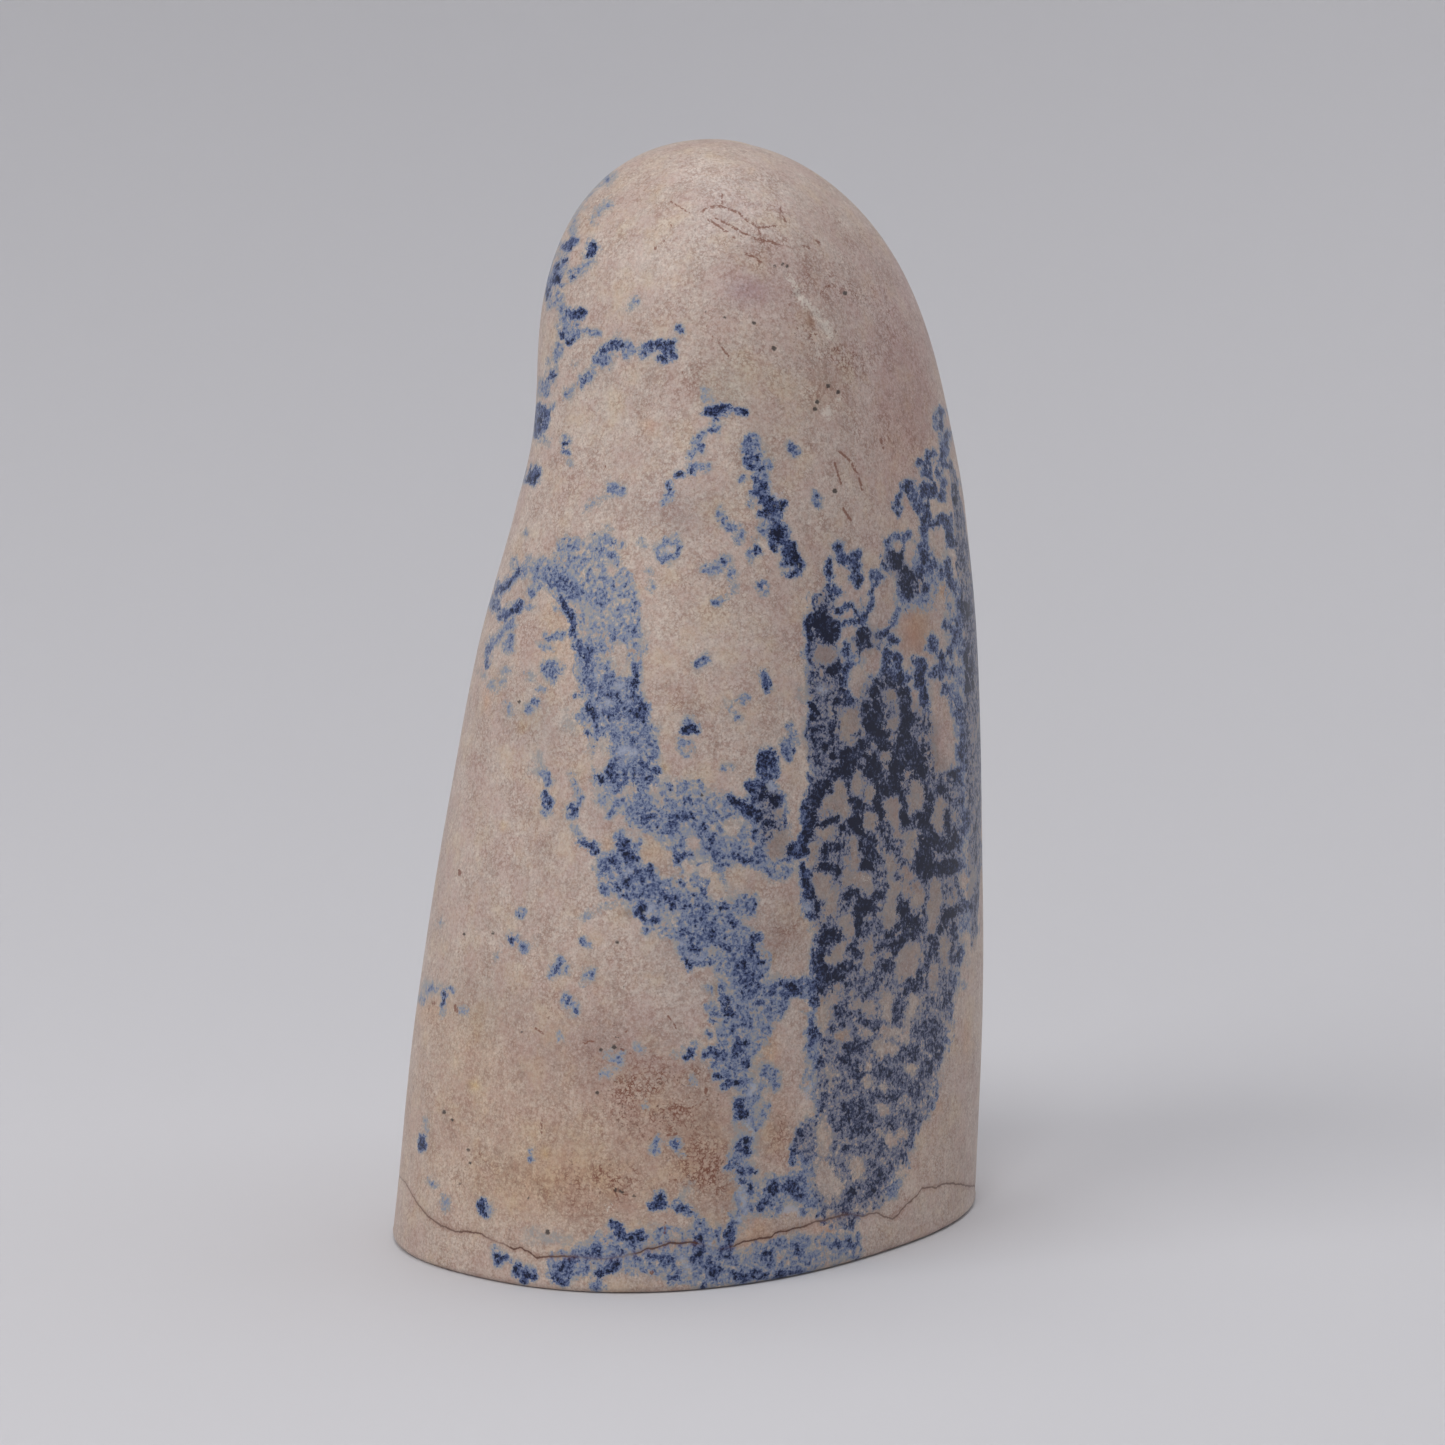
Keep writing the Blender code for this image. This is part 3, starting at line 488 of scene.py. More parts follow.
MESH_BEHIND = (
    (-50, 82, 1.5, -48, 74, 4, -45, 64, 5.5, -47, 52, 5.5, -50, 40, 3.5, -53, 32, 2),
    (-34, 72, 1.4, -31, 66, 2.0), (-33, 54, 2.2, -30, 48, 1.6), (-40, 40, 1.8), (-26, 58, 1.0),
)
WASH_BEHIND = (
    (118, 90, 2.4, 106, 84, 2.0, 94, 74, 2.6, 82, 64, 3.6, 68, 52, 4.4, 59, 40, 4.2, 53, 27, 3.8, 46,
     13, 3.4, 42, 2, 3.8), (128, 58, 2.4, 118, 54, 2.0), (14, 48, 2.6, 4, 38, 2.0), (-2, 61, 1.8),
    (-36, 62, 4, -34, 48, 3.5), (-20, 40, 2.0, -14, 34, 1.6),
)

# Soft stains in the rock, and one painted highlight on the dome: x, y, reach across, reach up and down,
# colour that the rock is multiplied by
STAINS_AND_HIGHLIGHT = (
    (520, 1130, 170, 150, (0.99, 0.93, 0.85)), (665, 1110, 75, 50, (0.90, 0.84, 0.80)),
    (600, 1050, 110, 50, (0.87, 0.87, 0.92)), (480, 1000, 40, 32, (0.84, 0.85, 0.87)),
    (905, 430, 34, 80, (0.90, 0.80, 0.78)), (680, 510, 42, 30, (0.84, 0.85, 0.88)),
    (540, 722, 26, 32, (0.84, 0.86, 0.87)), (725, 385, 26, 26, (0.88, 0.92, 0.88)),
    (787, 925, 20, 42, (0.88, 0.85, 0.83)), (600, 400, 26, 26, (1.08, 1.12, 1.12)),
    (600, 1190, 70, 40, (0.95, 0.88, 0.82)), (700, 1165, 40, 50, (0.94, 0.86, 0.78)),
    (590, 1050, 60, 40, (0.95, 0.91, 0.90)), (470, 1040, 40, 60, (1.00, 0.98, 0.92)),
    (545, 1153, 5, 5, (1.04, 1.02, 0.82)), (474, 1085, 5, 5, (1.05, 1.02, 0.72)),
    (540, 1160, 30, 25, (1.00, 0.99, 0.93)), (757, 455, 18, 48, (0.90, 0.93, 0.90)),
    (745, 290, 24, 16, (0.84, 0.77, 0.86)), (895, 330, 50, 110, (0.95, 0.90, 0.94)),
    (790, 285, 50, 40, (0.95, 0.91, 0.93)), (820, 395, 26, 22, (1.02, 0.99, 0.92)),
    (915, 630, 14, 26, (1.00, 0.78, 0.60)), (944, 590, 6, 8, (1.05, 0.84, 0.62)),
    (942, 730, 16, 50, (1.00, 0.94, 0.94)), (770, 1050, 10, 18, (1.08, 0.95, 0.80)),
    (825, 1228, 14, 10, (1.02, 0.84, 0.76)), (755, 1228, 22, 14, (1.02, 0.88, 0.80)),
    (758, 1250, 16, 10, (0.96, 0.87, 0.86)), (770, 958, 6, 6, (0.95, 0.84, 0.70)),
    (785, 982, 8, 5, (0.92, 0.76, 0.62)), (503, 826, 4, 4, (1.05, 0.98, 0.72)),
    (522, 728, 5, 5, (1.06, 1.00, 0.78)), (486, 700, 4, 14, (1.06, 0.92, 0.82)),
    (713, 170, 10, 8, (0.90, 0.85, 0.80)), (750, 170, 7, 5, (0.92, 0.86, 0.80)),
    (731, 1194, 4, 4, (1.10, 0.86, 0.66)), (842, 1035, 7, 8, (1.06, 0.92, 0.80)),
    (780, 1130, 18, 40, (1.00, 0.90, 0.82)), (608, 610, 60, 60, (0.99, 0.98, 0.96)),
    (655, 855, 16, 14, (1.03, 0.95, 0.84)), (609, 845, 8, 12, (1.00, 0.90, 0.78)),
    (733, 812, 8, 6, (0.82, 0.78, 0.84)), (967, 1040, 5, 22, (0.98, 0.86, 0.74)),
    (938, 1105, 6, 8, (1.04, 0.92, 0.82)), (430, 1010, 20, 16, (1.02, 0.93, 0.84)),
    (560, 640, 18, 50, (1.03, 0.97, 0.90)), (648, 425, 8, 8, (1.06, 0.95, 0.84)),
    (520, 1190, 60, 30, (1.00, 0.97, 0.90)), (850, 640, 46, 60, (0.86, 0.84, 0.87)),
    (915, 655, 50, 100, (0.84, 0.83, 0.86)), (650, 860, 60, 50, (0.93, 0.94, 0.96)),
    # The entry at 735, 212 is a painted highlight: the dome made paler and bluer where light is reflected.
    (700, 940, 62, 60, (0.90, 0.91, 0.94)), (735, 212, 44, 34, (1.08, 1.10, 1.16)),
    (740, 1140, 30, 45, (0.91, 0.89, 0.88)), (730, 1205, 34, 28, (0.91, 0.89, 0.89)),
    (745, 960, 40, 50, (0.88, 0.90, 0.93)), (640, 820, 50, 34, (0.92, 0.93, 0.95)),
    (629, 913, 10, 5, (0.62, 0.60, 0.54)), (716, 988, 4, 7, (0.66, 0.66, 0.60)),
    (811, 321, 5, 9, (0.66, 0.52, 0.44)), (675, 812, 5, 4, (0.72, 0.68, 0.52)),
    (655, 757, 5, 4, (0.90, 0.84, 0.62)), (664, 768, 6, 5, (0.86, 0.80, 0.60)),
    (736, 372, 6, 5, (0.86, 0.82, 0.84)), (748, 388, 5, 5, (0.88, 0.84, 0.84)),
    (905, 1150, 60, 60, (0.99, 0.96, 0.92)),
)
# The same behind: heading, height, reaches in mm, colour
STAINS_BEHIND = (
    (0, 12, 24, 12, (1.00, 0.93, 0.84)), (60, 14, 26, 16, (1.00, 0.95, 0.88)),
    (20, 70, 12, 16, (0.95, 0.91, 0.95)), (100, 40, 12, 14, (1.03, 0.96, 0.86)),
    (90, 88, 10, 8, (1.02, 0.98, 0.90)), (10, 96, 12, 8, (0.94, 0.90, 0.94)),
    (-30, 88, 8, 10, (0.95, 0.92, 0.96)), (38, 60, 8, 8, (1.05, 0.95, 0.82)),
    (-14, 22, 8, 8, (1.04, 0.94, 0.82)),
)

# Where brown specks and crazing are thick: x, y, reach across, reach up and down, share
COARSE_EVERYWHERE = 0.28
COARSE = (
    (655, 1100, 75, 50, 1.0), (600, 1185, 70, 40, 0.8), (705, 1170, 40, 50, 0.9), (560, 1010, 60, 40, 0.5),
    (770, 235, 60, 45, 0.6), (840, 330, 80, 100, 0.7), (720, 380, 60, 50, 0.5), (890, 430, 50, 60, 0.6),
    (480, 1150, 50, 60, 0.5), (780, 1130, 25, 50, 0.6), (690, 700, 60, 60, 0.4), (787, 930, 25, 50, 0.5),
)

# Relief, in metres, and over how many mm it fades in
CRACK_DEPTH = 0.00011
CRACK_REACH_MM = 0.22
PIT_DEPTH = 0.00022
PIT_FADE_FROM_MM = 0.25
LINE_DEPTH = 0.00003
RELIEF_FADE_MM = 0.3
# The polish's broad unevenness, lowered so that it stays within the solid
POLISH_WAVE = 0.00006
POLISH_DROP = 0.6
# Patches of noise to a metre, and how sharply the pits stand apart
POLISH_SCALE = 70.0
PIT_SCALE = 1300.0
PIT_CONTRAST = 2.0

# Colours, as linear light
ROCK_PALE = (0.690, 0.605, 0.540, 1.0)
ROCK_DIM = (0.345, 0.265, 0.230, 1.0)
ROCK_PINK = (0.520, 0.395, 0.360, 1.0)
ROCK_YELLOW = (0.600, 0.495, 0.375, 1.0)
PAPER = (1.060, 1.050, 1.020, 1.0)
ROSY = (0.900, 0.740, 0.660, 1.0)
SHADED = (0.690, 0.680, 0.690, 1.0)
ROCK_SPECK = (0.150, 0.080, 0.056, 1.0)
RUST = (0.215, 0.086, 0.055, 1.0)
DARK = (0.040, 0.032, 0.030, 1.0)
CREAM_COLOUR = (0.700, 0.640, 0.560, 1.0)
VEIL = (0.335, 0.325, 0.315, 1.0)
GREY_VEIL = (0.275, 0.252, 0.246, 1.0)
BLUE_PALE = (0.225, 0.265, 0.370, 1.0)
GREY_PALE = (0.215, 0.215, 0.275, 1.0)
BLUE_MIDDLE = (0.125, 0.160, 0.275, 1.0)
GREY_MIDDLE = (0.105, 0.115, 0.180, 1.0)
BLUE_DEEP = (0.044, 0.066, 0.165, 1.0)
GREY_DEEP = (0.022, 0.031, 0.076, 1.0)
NAVY_DEEP = (0.004, 0.007, 0.027, 1.0)
WHITISH = (0.440, 0.465, 0.545, 1.0)
CRACK_COLOUR = (0.100, 0.044, 0.030, 1.0)

# Depths inside marks are kept up to this many mm, and a place outside all marks starts from here
FAR_MM = 4.0
OUTSIDE = -1000.0

# The mean radius that turns headings into mm on the far side
FAR_RADIUS_MM = 31.0
# The crack's far side is listed from this many degrees below zero on
CRACK_STARTS_BELOW = 140.0

# How far the marks' edges are stirred: in pixels, over patches of noise in mm
STIR_WIDE = 5.0
STIR_WIDE_MM = 2.4
STIR_FINE = 3.5
STIR_FINE_MM = 0.9
# Marks on the far side are stirred more, because they were drawn with fewer points
STIR_BEHIND = 2.0
# Where the two noises that do this begin, so that they differ
SWIRL_STARTS = ((3.1, 7.7, 1.3), (8.9, 2.3, 5.1))

# Layers of noise: the width of the patches in mm, how many times finer ones are added and how strong
# each is beside the one before, how far they are warped, and where they begin, so that no two match
Layer = namedtuple("Layer", "grain_mm detail rough warp start", defaults=(0.0, None))
# Octaves with patches finer than this don't show, in mm
FINEST_GRAIN_MM = 0.1
ROCK_TONES = (
    (Layer(9.0, 3, 0.55), 0.35),
    (Layer(2.2, 4, 0.65), 0.55),
    (Layer(0.42, 3, 0.7, start=(0.03, 0.01, 0.02)), 0.75),
    (Layer(0.20, 2, 0.7, start=(0.01, 0.05, 0.02)), 0.80),
)
PINK_PATCHES = Layer(3.4, 4, 0.65, start=(0.02, 0.06, 0.05))
YELLOW_PATCHES = Layer(4.2, 4, 0.65, start=(0.08, 0.01, 0.07))
ROSY_GRAINS = Layer(0.55, 4, 0.7, start=(0.06, 0.07, 0.02))
SPECK_DRIFT = Layer(2.6, 3, 0.65, start=(0.07, 0.02, 0.0))
SPECK_GRAINS = Layer(0.24, 2, 0.6, start=(0.0, 0.03, 0.06))
DOT_GRAINS = Layer(0.42, 1, 0.5, start=(0.04, 0.03, 0.01))
CRAZE_DRIFT = Layer(3.2, 4, 0.65, start=(0.02, 0.09, 0.01))
CRAZE_BREAKS = Layer(0.55, 3, 0.6, start=(0.05, 0.02, 0.02))
WOBBLE_COARSE = Layer(0.85, 6, 0.72, 0.9)
WOBBLE_FINE = Layer(0.22, 3, 0.7, start=(0.05, 0.0, 0.03))
WOBBLE_BEHIND = Layer(4.0, 3, 0.65, 0.8)
FIELD_EDGE = Layer(2.4, 5, 0.66, 0.6, (0.04, 0.08, 0.03))
BLUE_GRAIN = Layer(0.40, 5, 0.72, start=(0.02, 0.02, 0.08))
BLUE_CLOUD = Layer(0.90, 5, 0.7, 0.8, (0.06, 0.01, 0.04))
BLUE_DRIFT = Layer(2.6, 4, 0.6, 0.6, (0.01, 0.09, 0.09))
LINE_EDGE = Layer(0.22, 2, 0.6, start=(0.09, 0.03, 0.0))
LINE_BREAKS = Layer(0.6, 2, 0.6, start=(0.01, 0.08, 0.02))
CREAM_EDGE = Layer(0.26, 4, 0.78, start=(0.03, 0.09, 0.06))
CRACK_WANDER = Layer(0.8, 3, 0.6)
SHEEN_PATCHES = Layer(3.0, 3, 0.6)
BUMP_FINE = Layer(0.30, 3, 0.6)
BUMP_WIDE = Layer(1.6, 2, 0.5)

# The values of its noise between which each of these fades in, and how strongly it colours the rock
TONE_RANGE = (0.80, 1.62)
PINK_RANGE = (0.42, 0.66)
YELLOW_RANGE = (0.47, 0.70)
HUE_SHARE = 0.55
ROSY_RANGE = (0.44, 0.60)
GRAIN_SHARE = 0.45
SPECK_DRIFT_RANGE = (0.40, 0.62)
SPECK_RANGE = (0.56, 0.66)
DOT_RANGE = (0.64, 0.72)
SPECK_SHARE = 0.8
CRAZE_DRIFT_RANGE = (0.40, 0.66)
CRAZE_BREAK_RANGE = (0.38, 0.56)
LINE_BREAK_RANGE = (0.36, 0.50)

# The net of fine cracks: the width of its cells and how far they are stirred, in mm, and the width
# of its lines in cell widths. The stirring's own patches are this many cells wide.
NET_CELL_MM = 0.44
NET_STIR_MM = 0.42
NET_LINE = 0.26
NET_STIR_GRAIN = 0.6

# The islands in the lace: the width of their cells and how far noise stirs them, in mm. The cells
# stand taller than wide, and patches of noise make some islands small.
ISLANDS = ((1.9, 1.1), (0.85, 0.6), (0.46, 0.35))
ISLAND_SQUEEZE = 0.70
ISLAND_PATCH = 1.4
ISLAND_UNEVEN = -1.1
# How near a cell's middle each size of island is cut out, in cell widths
MESH_ISLANDS = (0.27, 0.13, 0.117)
WASH_ISLANDS = (0.23, 0.17, 0.153)

# How far noise moves the edges of marks, of marks behind and of the fields of lace, in mm
COARSE_WOBBLE = 1.7
FINE_WOBBLE = 1.1
BEHIND_WOBBLE = 4.4
FIELD_WOBBLE = 4.2
# How much of that moves each kind of mark
WINDOW_MOVES = 1.5
NAVY_MOVES = 0.8
LACE_MOVES = 0.6
PALE_MOVES = 1.2
VEIL_MOVES = 1.8
# The depths inside a mark, in mm, between which each kind fades in
WINDOW_FADE = (-0.30, 0.30)
FIELD_FADE = (-0.30, 0.50)
DENSE_FADE = (-0.6, 0.8)
AROUND_FADE = (-0.80, -0.10)
NAVY_FADE = (-0.38, 0.20)
DEEP_FADE = (-0.46, 0.26)
BLUE_FADE = (-0.46, 0.30)
MESH_FADE = (-0.28, 0.42)
WASH_FADE = (-0.34, 0.46)
PALE_FADE = (-0.45, 0.45)
VEIL_FADE = (-0.90, 0.90)
MIST_FADE = (-0.90, 0.80)
HALO_FADE = (-0.85, 0.0)
FLECK_FADE = (-0.15, 0.30)
CREAM_FADE = (-0.08, 0.22)
LINE_FADE = (-0.070, 0.015)
SPECK_FADE = (-0.10, 0.05)
# How blue each kind is: 0 is rock and 1 the darkest navy
NAVY_LEVEL = 0.92
NAVY_EXTRA = 0.25
MESH_LEVEL = 0.96
DEEP_LEVEL = 0.86
AROUND_LEVEL = 0.64
WASH_LEVEL = 0.61
BLUE_LEVEL = 0.60
PALE_LEVEL = 0.34
MIST_LEVEL = 0.17
VEIL_LEVEL = 0.15
HALO_LEVEL = 0.13
# How much blue is left in a window of open rock
WINDOW_LEFT = 0.08
# The mesh gets paler near the foot, and the rock around it lighter: at what heights, in metres
PALER_HEIGHTS = (0.020, 0.040)
PALER_BY = 0.36
SHADE_HEIGHTS = (0.016, 0.034)
SHADE_SHARES = (0.1, 1.25)
# The steps of blueness at which one colour gives way to the next
TO_VEIL = (0.01, 0.24)
TO_PALE = (0.20, 0.40)
TO_MIDDLE = (0.38, 0.60)
TO_DEEP = (0.56, 0.78)
TO_NAVY = (0.76, 0.98)
# How strongly three grains of noise mottle the blue, and the blueness over which they set in
GRAIN_MOTTLE = 1.9
CLOUD_MOTTLE = 1.5
DRIFT_MOTTLE = 0.9
MOTTLE_FADE = (0.02, 0.42)
MOTTLE_SHARES = (0.10, 0.95)
SEAM_FADE = (0.20, 0.60)
SEAM_LEVEL = -0.20

# How strongly the thin marks colour the stone
FLECK_SHARE = 0.62
CREAM_SHARE = 0.65
LINE_SHARE = 0.85
SPECK_COLOUR_SHARE = 0.88
CRACK_SHARE = 0.9
FRINGE_SHARE = 0.32
# How strongly noise moves the edges of these marks, and how far some are narrowed, in mm
CREAM_RAGGED = 3.9
CREAM_NARROWED = -0.20
LINE_RAGGED = 0.30
SPECK_RAGGED = 0.25
CRACK_RAGGED = 0.5
FLECK_RAGGED = 1.5
FLECK_CLOUDED = 0.7
FLECK_NARROWED = -0.22
# The distances from the middle of the crack over which it and its stained fringe fade out, in mm
CRACK_FADE = (0.05, 0.15)
FRINGE_FADE = (0.05, 0.6)

# The polish: duller in patches and in the cream streak, glossier in the blue
ROUGHNESS = 0.32
ROUGHNESS_PATCHES = 0.16
ROUGHNESS_CREAM = 0.15
ROUGHNESS_BLUE = 0.05
GLOSSY_FADE = (0.3, 0.8)
SPECULAR = 0.30
BUMP_STRENGTH = 0.35
BUMP_DISTANCE = 0.00006
BUMP_SHARES = (0.6, 1.2)

# The floor turns up into a wall in one sweep all round the stone
FLAT_REACH = 0.11
SWEEP_RADIUS = 0.95
SWEEP_STEPS = 28
WALL_HEIGHT = 0.9
STAGE_SPOKES = 96
STAGE_COLOUR = (0.645, 0.64, 0.663, 1.0)

# Soft boxes: how far each one stands to the camera's right, above the floor and towards the camera,
# its width, its power and its colour. They aim at the middle of the stone.
AIM = (0.0, 0.0, 0.06)
KEY = ("key", (-0.50, 0.62, 0.36), 0.45, 2.35, (1.0, 0.985, 0.97))
TOP = ("top", (-0.06, 0.94, -0.20), 0.42, 1.4, (0.98, 0.985, 1.0))
BACK_TOP = ("back_top", (0.35, 0.90, -0.15), 0.80, 2.45, (0.98, 0.985, 1.0))
FRONT = ("front", (-0.04, 0.80, 0.50), 0.24, 1.75, (1.0, 1.0, 1.0))
LIGHTS = (KEY, TOP, BACK_TOP, FRONT)
WORLD_COLOUR = (0.95, 0.97, 1.0, 1.0)
WORLD_STRENGTH = 0.03

NAVY = NAVY_CHAIN + NAVY_STREAK + NAVY_LOW + MESH_TOP + MESH_CORE + MESH_FOOT
BLUE = BLUE_CHAIN + BLUE_STREAK + BLUE_BAND + BLUE_LOW + MESH_BLUE
PALE = PALE_CHAIN + PALE_STREAK + PALE_BAND + PALE_LOW
WINDOWS = WINDOWS_TOP + WINDOWS_LOW
LINES = RUST_LINES + DOME_LINES
# The marks near which the skin is refined, and those near which it is refined once more
FINE = NAVY + NAVY_BAND + BLUE + FLECKS + WINDOWS + CREAM
FINEST = SPECKS + LINES
FINE_BEHIND = NAVY_BEHIND + BLUE_BEHIND + MESH_BEHIND + WASH_BEHIND


def unit(vector):
    return vector / np.linalg.norm(vector)


def camera_axes():
    """The camera's right, up and forward directions."""
    heading = np.array((math.cos(CAMERA_HEADING), math.sin(CAMERA_HEADING), 0.0))
    forward = heading * math.cos(CAMERA_TILT)
    forward[2] = -math.sin(CAMERA_TILT)
    right = np.array((heading[1], -heading[0], 0.0))
    return right, np.cross(right, forward), forward


def photo_pixels(points):
    """Where the photograph shows each point, as x and y in its pixels."""
    right, up, forward = camera_axes()
    away = points - np.array(CAMERA_PLACE)
    depth = away @ forward
    x = 0.5 * PHOTO_SIDE + FOCAL_PIXELS * (away @ right) / depth
    y = 0.5 * PHOTO_SIDE - FOCAL_PIXELS * (away @ up) / depth
    return np.column_stack((x, y))


class Surface:
    """The stone's own surface, measured from its node and smoothed over the facets."""

    def __init__(self, stone):
        co = np.array([vert.co for vert in stone.data.vertices])
        level = co[np.abs(co[:, 2] - DOME_START) < 0.5 * MM]
        low = level[:, :2].min(axis=0)
        high = level[:, :2].max(axis=0)
        self.axis = 0.5 * (low + high)
        self.top = DOME_START + DOME_REACH * 0.5 * math.pi
        self.table = self.smoothed(self.measured(stone))

    def directions(self, heading, climb):
        """The start and direction of the ray that meets the surface at a heading and climb."""
        rise = np.maximum(climb - DOME_START, 0.0) / DOME_REACH
        start = np.stack((heading * 0.0 + self.axis[0], heading * 0.0 + self.axis[1],
                          heading * 0.0 + np.minimum(climb, DOME_START)), axis=-1)
        along = np.stack((np.cos(rise) * np.cos(heading), np.cos(rise) * np.sin(heading),
                          np.sin(rise) + heading * 0.0), axis=-1)
        return start, along

    def measured(self, stone):
        """The reach of the stone's own mesh, in rows of equal climb and columns of equal heading."""
        tree = BVHTree.FromObject(stone, bpy.context.evaluated_depsgraph_get())
        headings = np.arange(COLUMNS) * math.tau / COLUMNS
        rows = []
        for climb in np.arange(FOOT_EDGE_RADIUS, self.top, ROW_STEP):
            starts, alongs = self.directions(headings, climb)
            rows.append([tree.ray_cast(Vector(start), Vector(along))[3]
                         for start, along in zip(starts, alongs)])
        return np.array(rows)

    def smoothed(self, table):
        """Take the facets out: keep the broad waves round the stone and blur along the climb."""
        waves = np.fft.rfft(table, axis=1)
        waves[:, SMOOTH_WAVES:] = 0.0
        table = np.fft.irfft(waves, n=COLUMNS, axis=1)
        reach = int(3 * SMOOTH_ROWS)
        offsets = np.arange(-reach, reach + 1)
        weights = np.exp(-0.5 * (offsets / SMOOTH_ROWS) ** 2)
        weights /= weights.sum()
        below = 2.0 * table[0] - table[reach:0:-1]
        beyond = np.roll(table[-1:-reach - 1:-1], COLUMNS // 2, axis=1)
        padded = np.concatenate((below, table, beyond))
        return sum(weight * padded[index:index + len(table)] for index, weight in enumerate(weights))

    def reach(self, heading, climb):
        """The distance out to the surface, read from the table between its rows and columns."""
        row = (climb - FOOT_EDGE_RADIUS) / ROW_STEP
        low = np.clip(np.floor(row), 0, len(self.table) - 2).astype(int)
        column = np.mod(heading, math.tau) * COLUMNS / math.tau
        left = np.floor(column).astype(int)
        share_up = row - low
        share_on = column - left
        right = (left + 1) % COLUMNS
        left = left % COLUMNS
        lower = self.table[low, left] * (1 - share_on) + self.table[low, right] * share_on
        upper = self.table[low + 1, left] * (1 - share_on) + self.table[low + 1, right] * share_on
        return lower * (1 - share_up) + upper * share_up

    def points(self, heading, climb):
        """The points of the surface at each heading and climb, with the foot's rounded edge."""
        heading, climb = np.broadcast_arrays(heading, climb)
        rounding = np.clip(1.0 - climb / FOOT_EDGE_RADIUS, 0.0, 1.0)
        inset = FOOT_EDGE_RADIUS * (1.0 - np.sqrt(1.0 - rounding ** 2))
        start, along = self.directions(heading, climb)
        distance = self.reach(heading, climb) - inset
        return start + along * distance[..., None]

    def place(self, points):
        """The heading and climb of points on or near the surface."""
        x = points[:, 0] - self.axis[0]
        y = points[:, 1] - self.axis[1]
        rise = np.arctan2(points[:, 2] - DOME_START, np.hypot(x, y))
        climb = np.where(points[:, 2] > DOME_START, DOME_START + DOME_REACH * rise, points[:, 2])
        return np.arctan2(y, x), climb


def even_headings(surface, climb, spacing, shift):
    """Headings that divide one level ring into equal steps of about the spacing."""
    trial = np.linspace(0.0, math.tau, COLUMNS + 1)
    points = surface.points(trial, climb)
    steps = np.linalg.norm(np.diff(points, axis=0), axis=1)
    travelled = np.concatenate(((0.0,), np.cumsum(steps)))
    count = max(int(round(travelled[-1] / spacing)), FEWEST_IN_RING)
    wanted = (np.arange(count) + shift) * travelled[-1] / count
    return np.interp(wanted, travelled, trial)


def skin_rings(surface):
    """Rings of headings and points, from the middle of the foot, up the sides, to the top."""
    edge = surface.points(np.linspace(0.0, math.tau, COLUMNS, endpoint=False), 0.0)
    centre = edge.mean(axis=0)
    half_width = np.linalg.norm(edge - centre, axis=1).mean()
    steps = int(half_width / FOOT_SPACING)
    rings = [(np.zeros(1), centre[None, :])]
    for step in range(1, steps):
        share = step / steps
        headings = even_headings(surface, 0.0, FOOT_SPACING / share, 0.5 * (step % 2))
        rings.append((headings, centre + share * (surface.points(headings, 0.0) - centre)))
    edge_turns = np.linspace(0.0, 0.5 * math.pi, EDGE_ROWS, endpoint=False)
    climbs = list(FOOT_EDGE_RADIUS * (1.0 - np.cos(edge_turns)))
    count = int((surface.top - FOOT_EDGE_RADIUS) / (SKIN_SPACING * ROW_SHARE))
    climbs += list(np.linspace(FOOT_EDGE_RADIUS, surface.top, count, endpoint=False))
    for step, climb in enumerate(climbs):
        headings = even_headings(surface, climb, SKIN_SPACING, 0.5 * (step % 2))
        rings.append((headings, surface.points(headings, climb)))
    rings.append((np.zeros(1), surface.points(np.zeros(1), surface.top)))
    return rings


def zip_rings(shape, low, high):
    """Join two rings with triangles, always stepping on the ring whose next point comes first."""
    low_steps = len(low) if len(low) > 1 else 0
    high_steps = len(high) if len(high) > 1 else 0
    i = 0
    j = 0
    while i < low_steps or j < high_steps:
        next_low = low[(i + 1) % len(low)][0] + math.tau * ((i + 1) // len(low))
        next_high = high[(j + 1) % len(high)][0] + math.tau * ((j + 1) // len(high))
        from_low = low[i % len(low)][1]
        from_high = high[j % len(high)][1]
        if j >= high_steps or (i < low_steps and next_low <= next_high):
            shape.faces.new((from_low, low[(i + 1) % len(low)][1], from_high))
            i += 1
        else:
            shape.faces.new((from_low, high[(j + 1) % len(high)][1], from_high))
            j += 1


def vert_places(shape):
    """Where the points of a shape are, one row each."""
    return np.array([vert.co for vert in shape.verts])


def settle(shape, surface):
    """Lay every point of the skin on the smooth surface again, except on the flat foot."""
    places = vert_places(shape)
    heading, climb = surface.place(places)
    settled = surface.points(heading, climb)
    for vert, place in zip(shape.verts, settled):
        if vert.co.z > 0.0:
            vert.co = place


def facing(shape):
    """How squarely each point faces the camera, from 1 through 0 at the outline to -1."""
    shape.normal_update()
    normals = np.array([vert.normal for vert in shape.verts])
    towards = np.array(CAMERA_PLACE) - vert_places(shape)
    towards /= np.linalg.norm(towards, axis=1)[:, None]
    return np.sum(normals * towards, axis=1)


def refine(shape, chosen):
    """Halve the edges whose two ends are both chosen."""
    shape.verts.index_update()
    edges = [edge for edge in shape.edges if all(chosen[vert.index] for vert in edge.verts)]
    bmesh.ops.subdivide_edges(shape, edges=edges, cuts=1, use_grid_fill=True)


def mark_depth(places, marks):
    """How far inside the nearest mark each place lies, in the marks' units; negative outside."""
    depth = np.full(len(places), OUTSIDE)
    for mark in marks:
        points = np.array(mark, dtype=float).reshape(-1, 3)
        ends = np.roll(points, -1, axis=0)[:-1] if len(points) > 1 else points
        for start, end in zip(points, ends):
            along = end[:2] - start[:2]
            offset = places - start[:2]
            share = np.clip(offset @ along / max(along @ along, 1e-9), 0.0, 1.0)
            gap = np.linalg.norm(offset - share[:, None] * along, axis=1)
            np.maximum(depth, start[2] + share * (end[2] - start[2]) - gap, out=depth)
    return depth


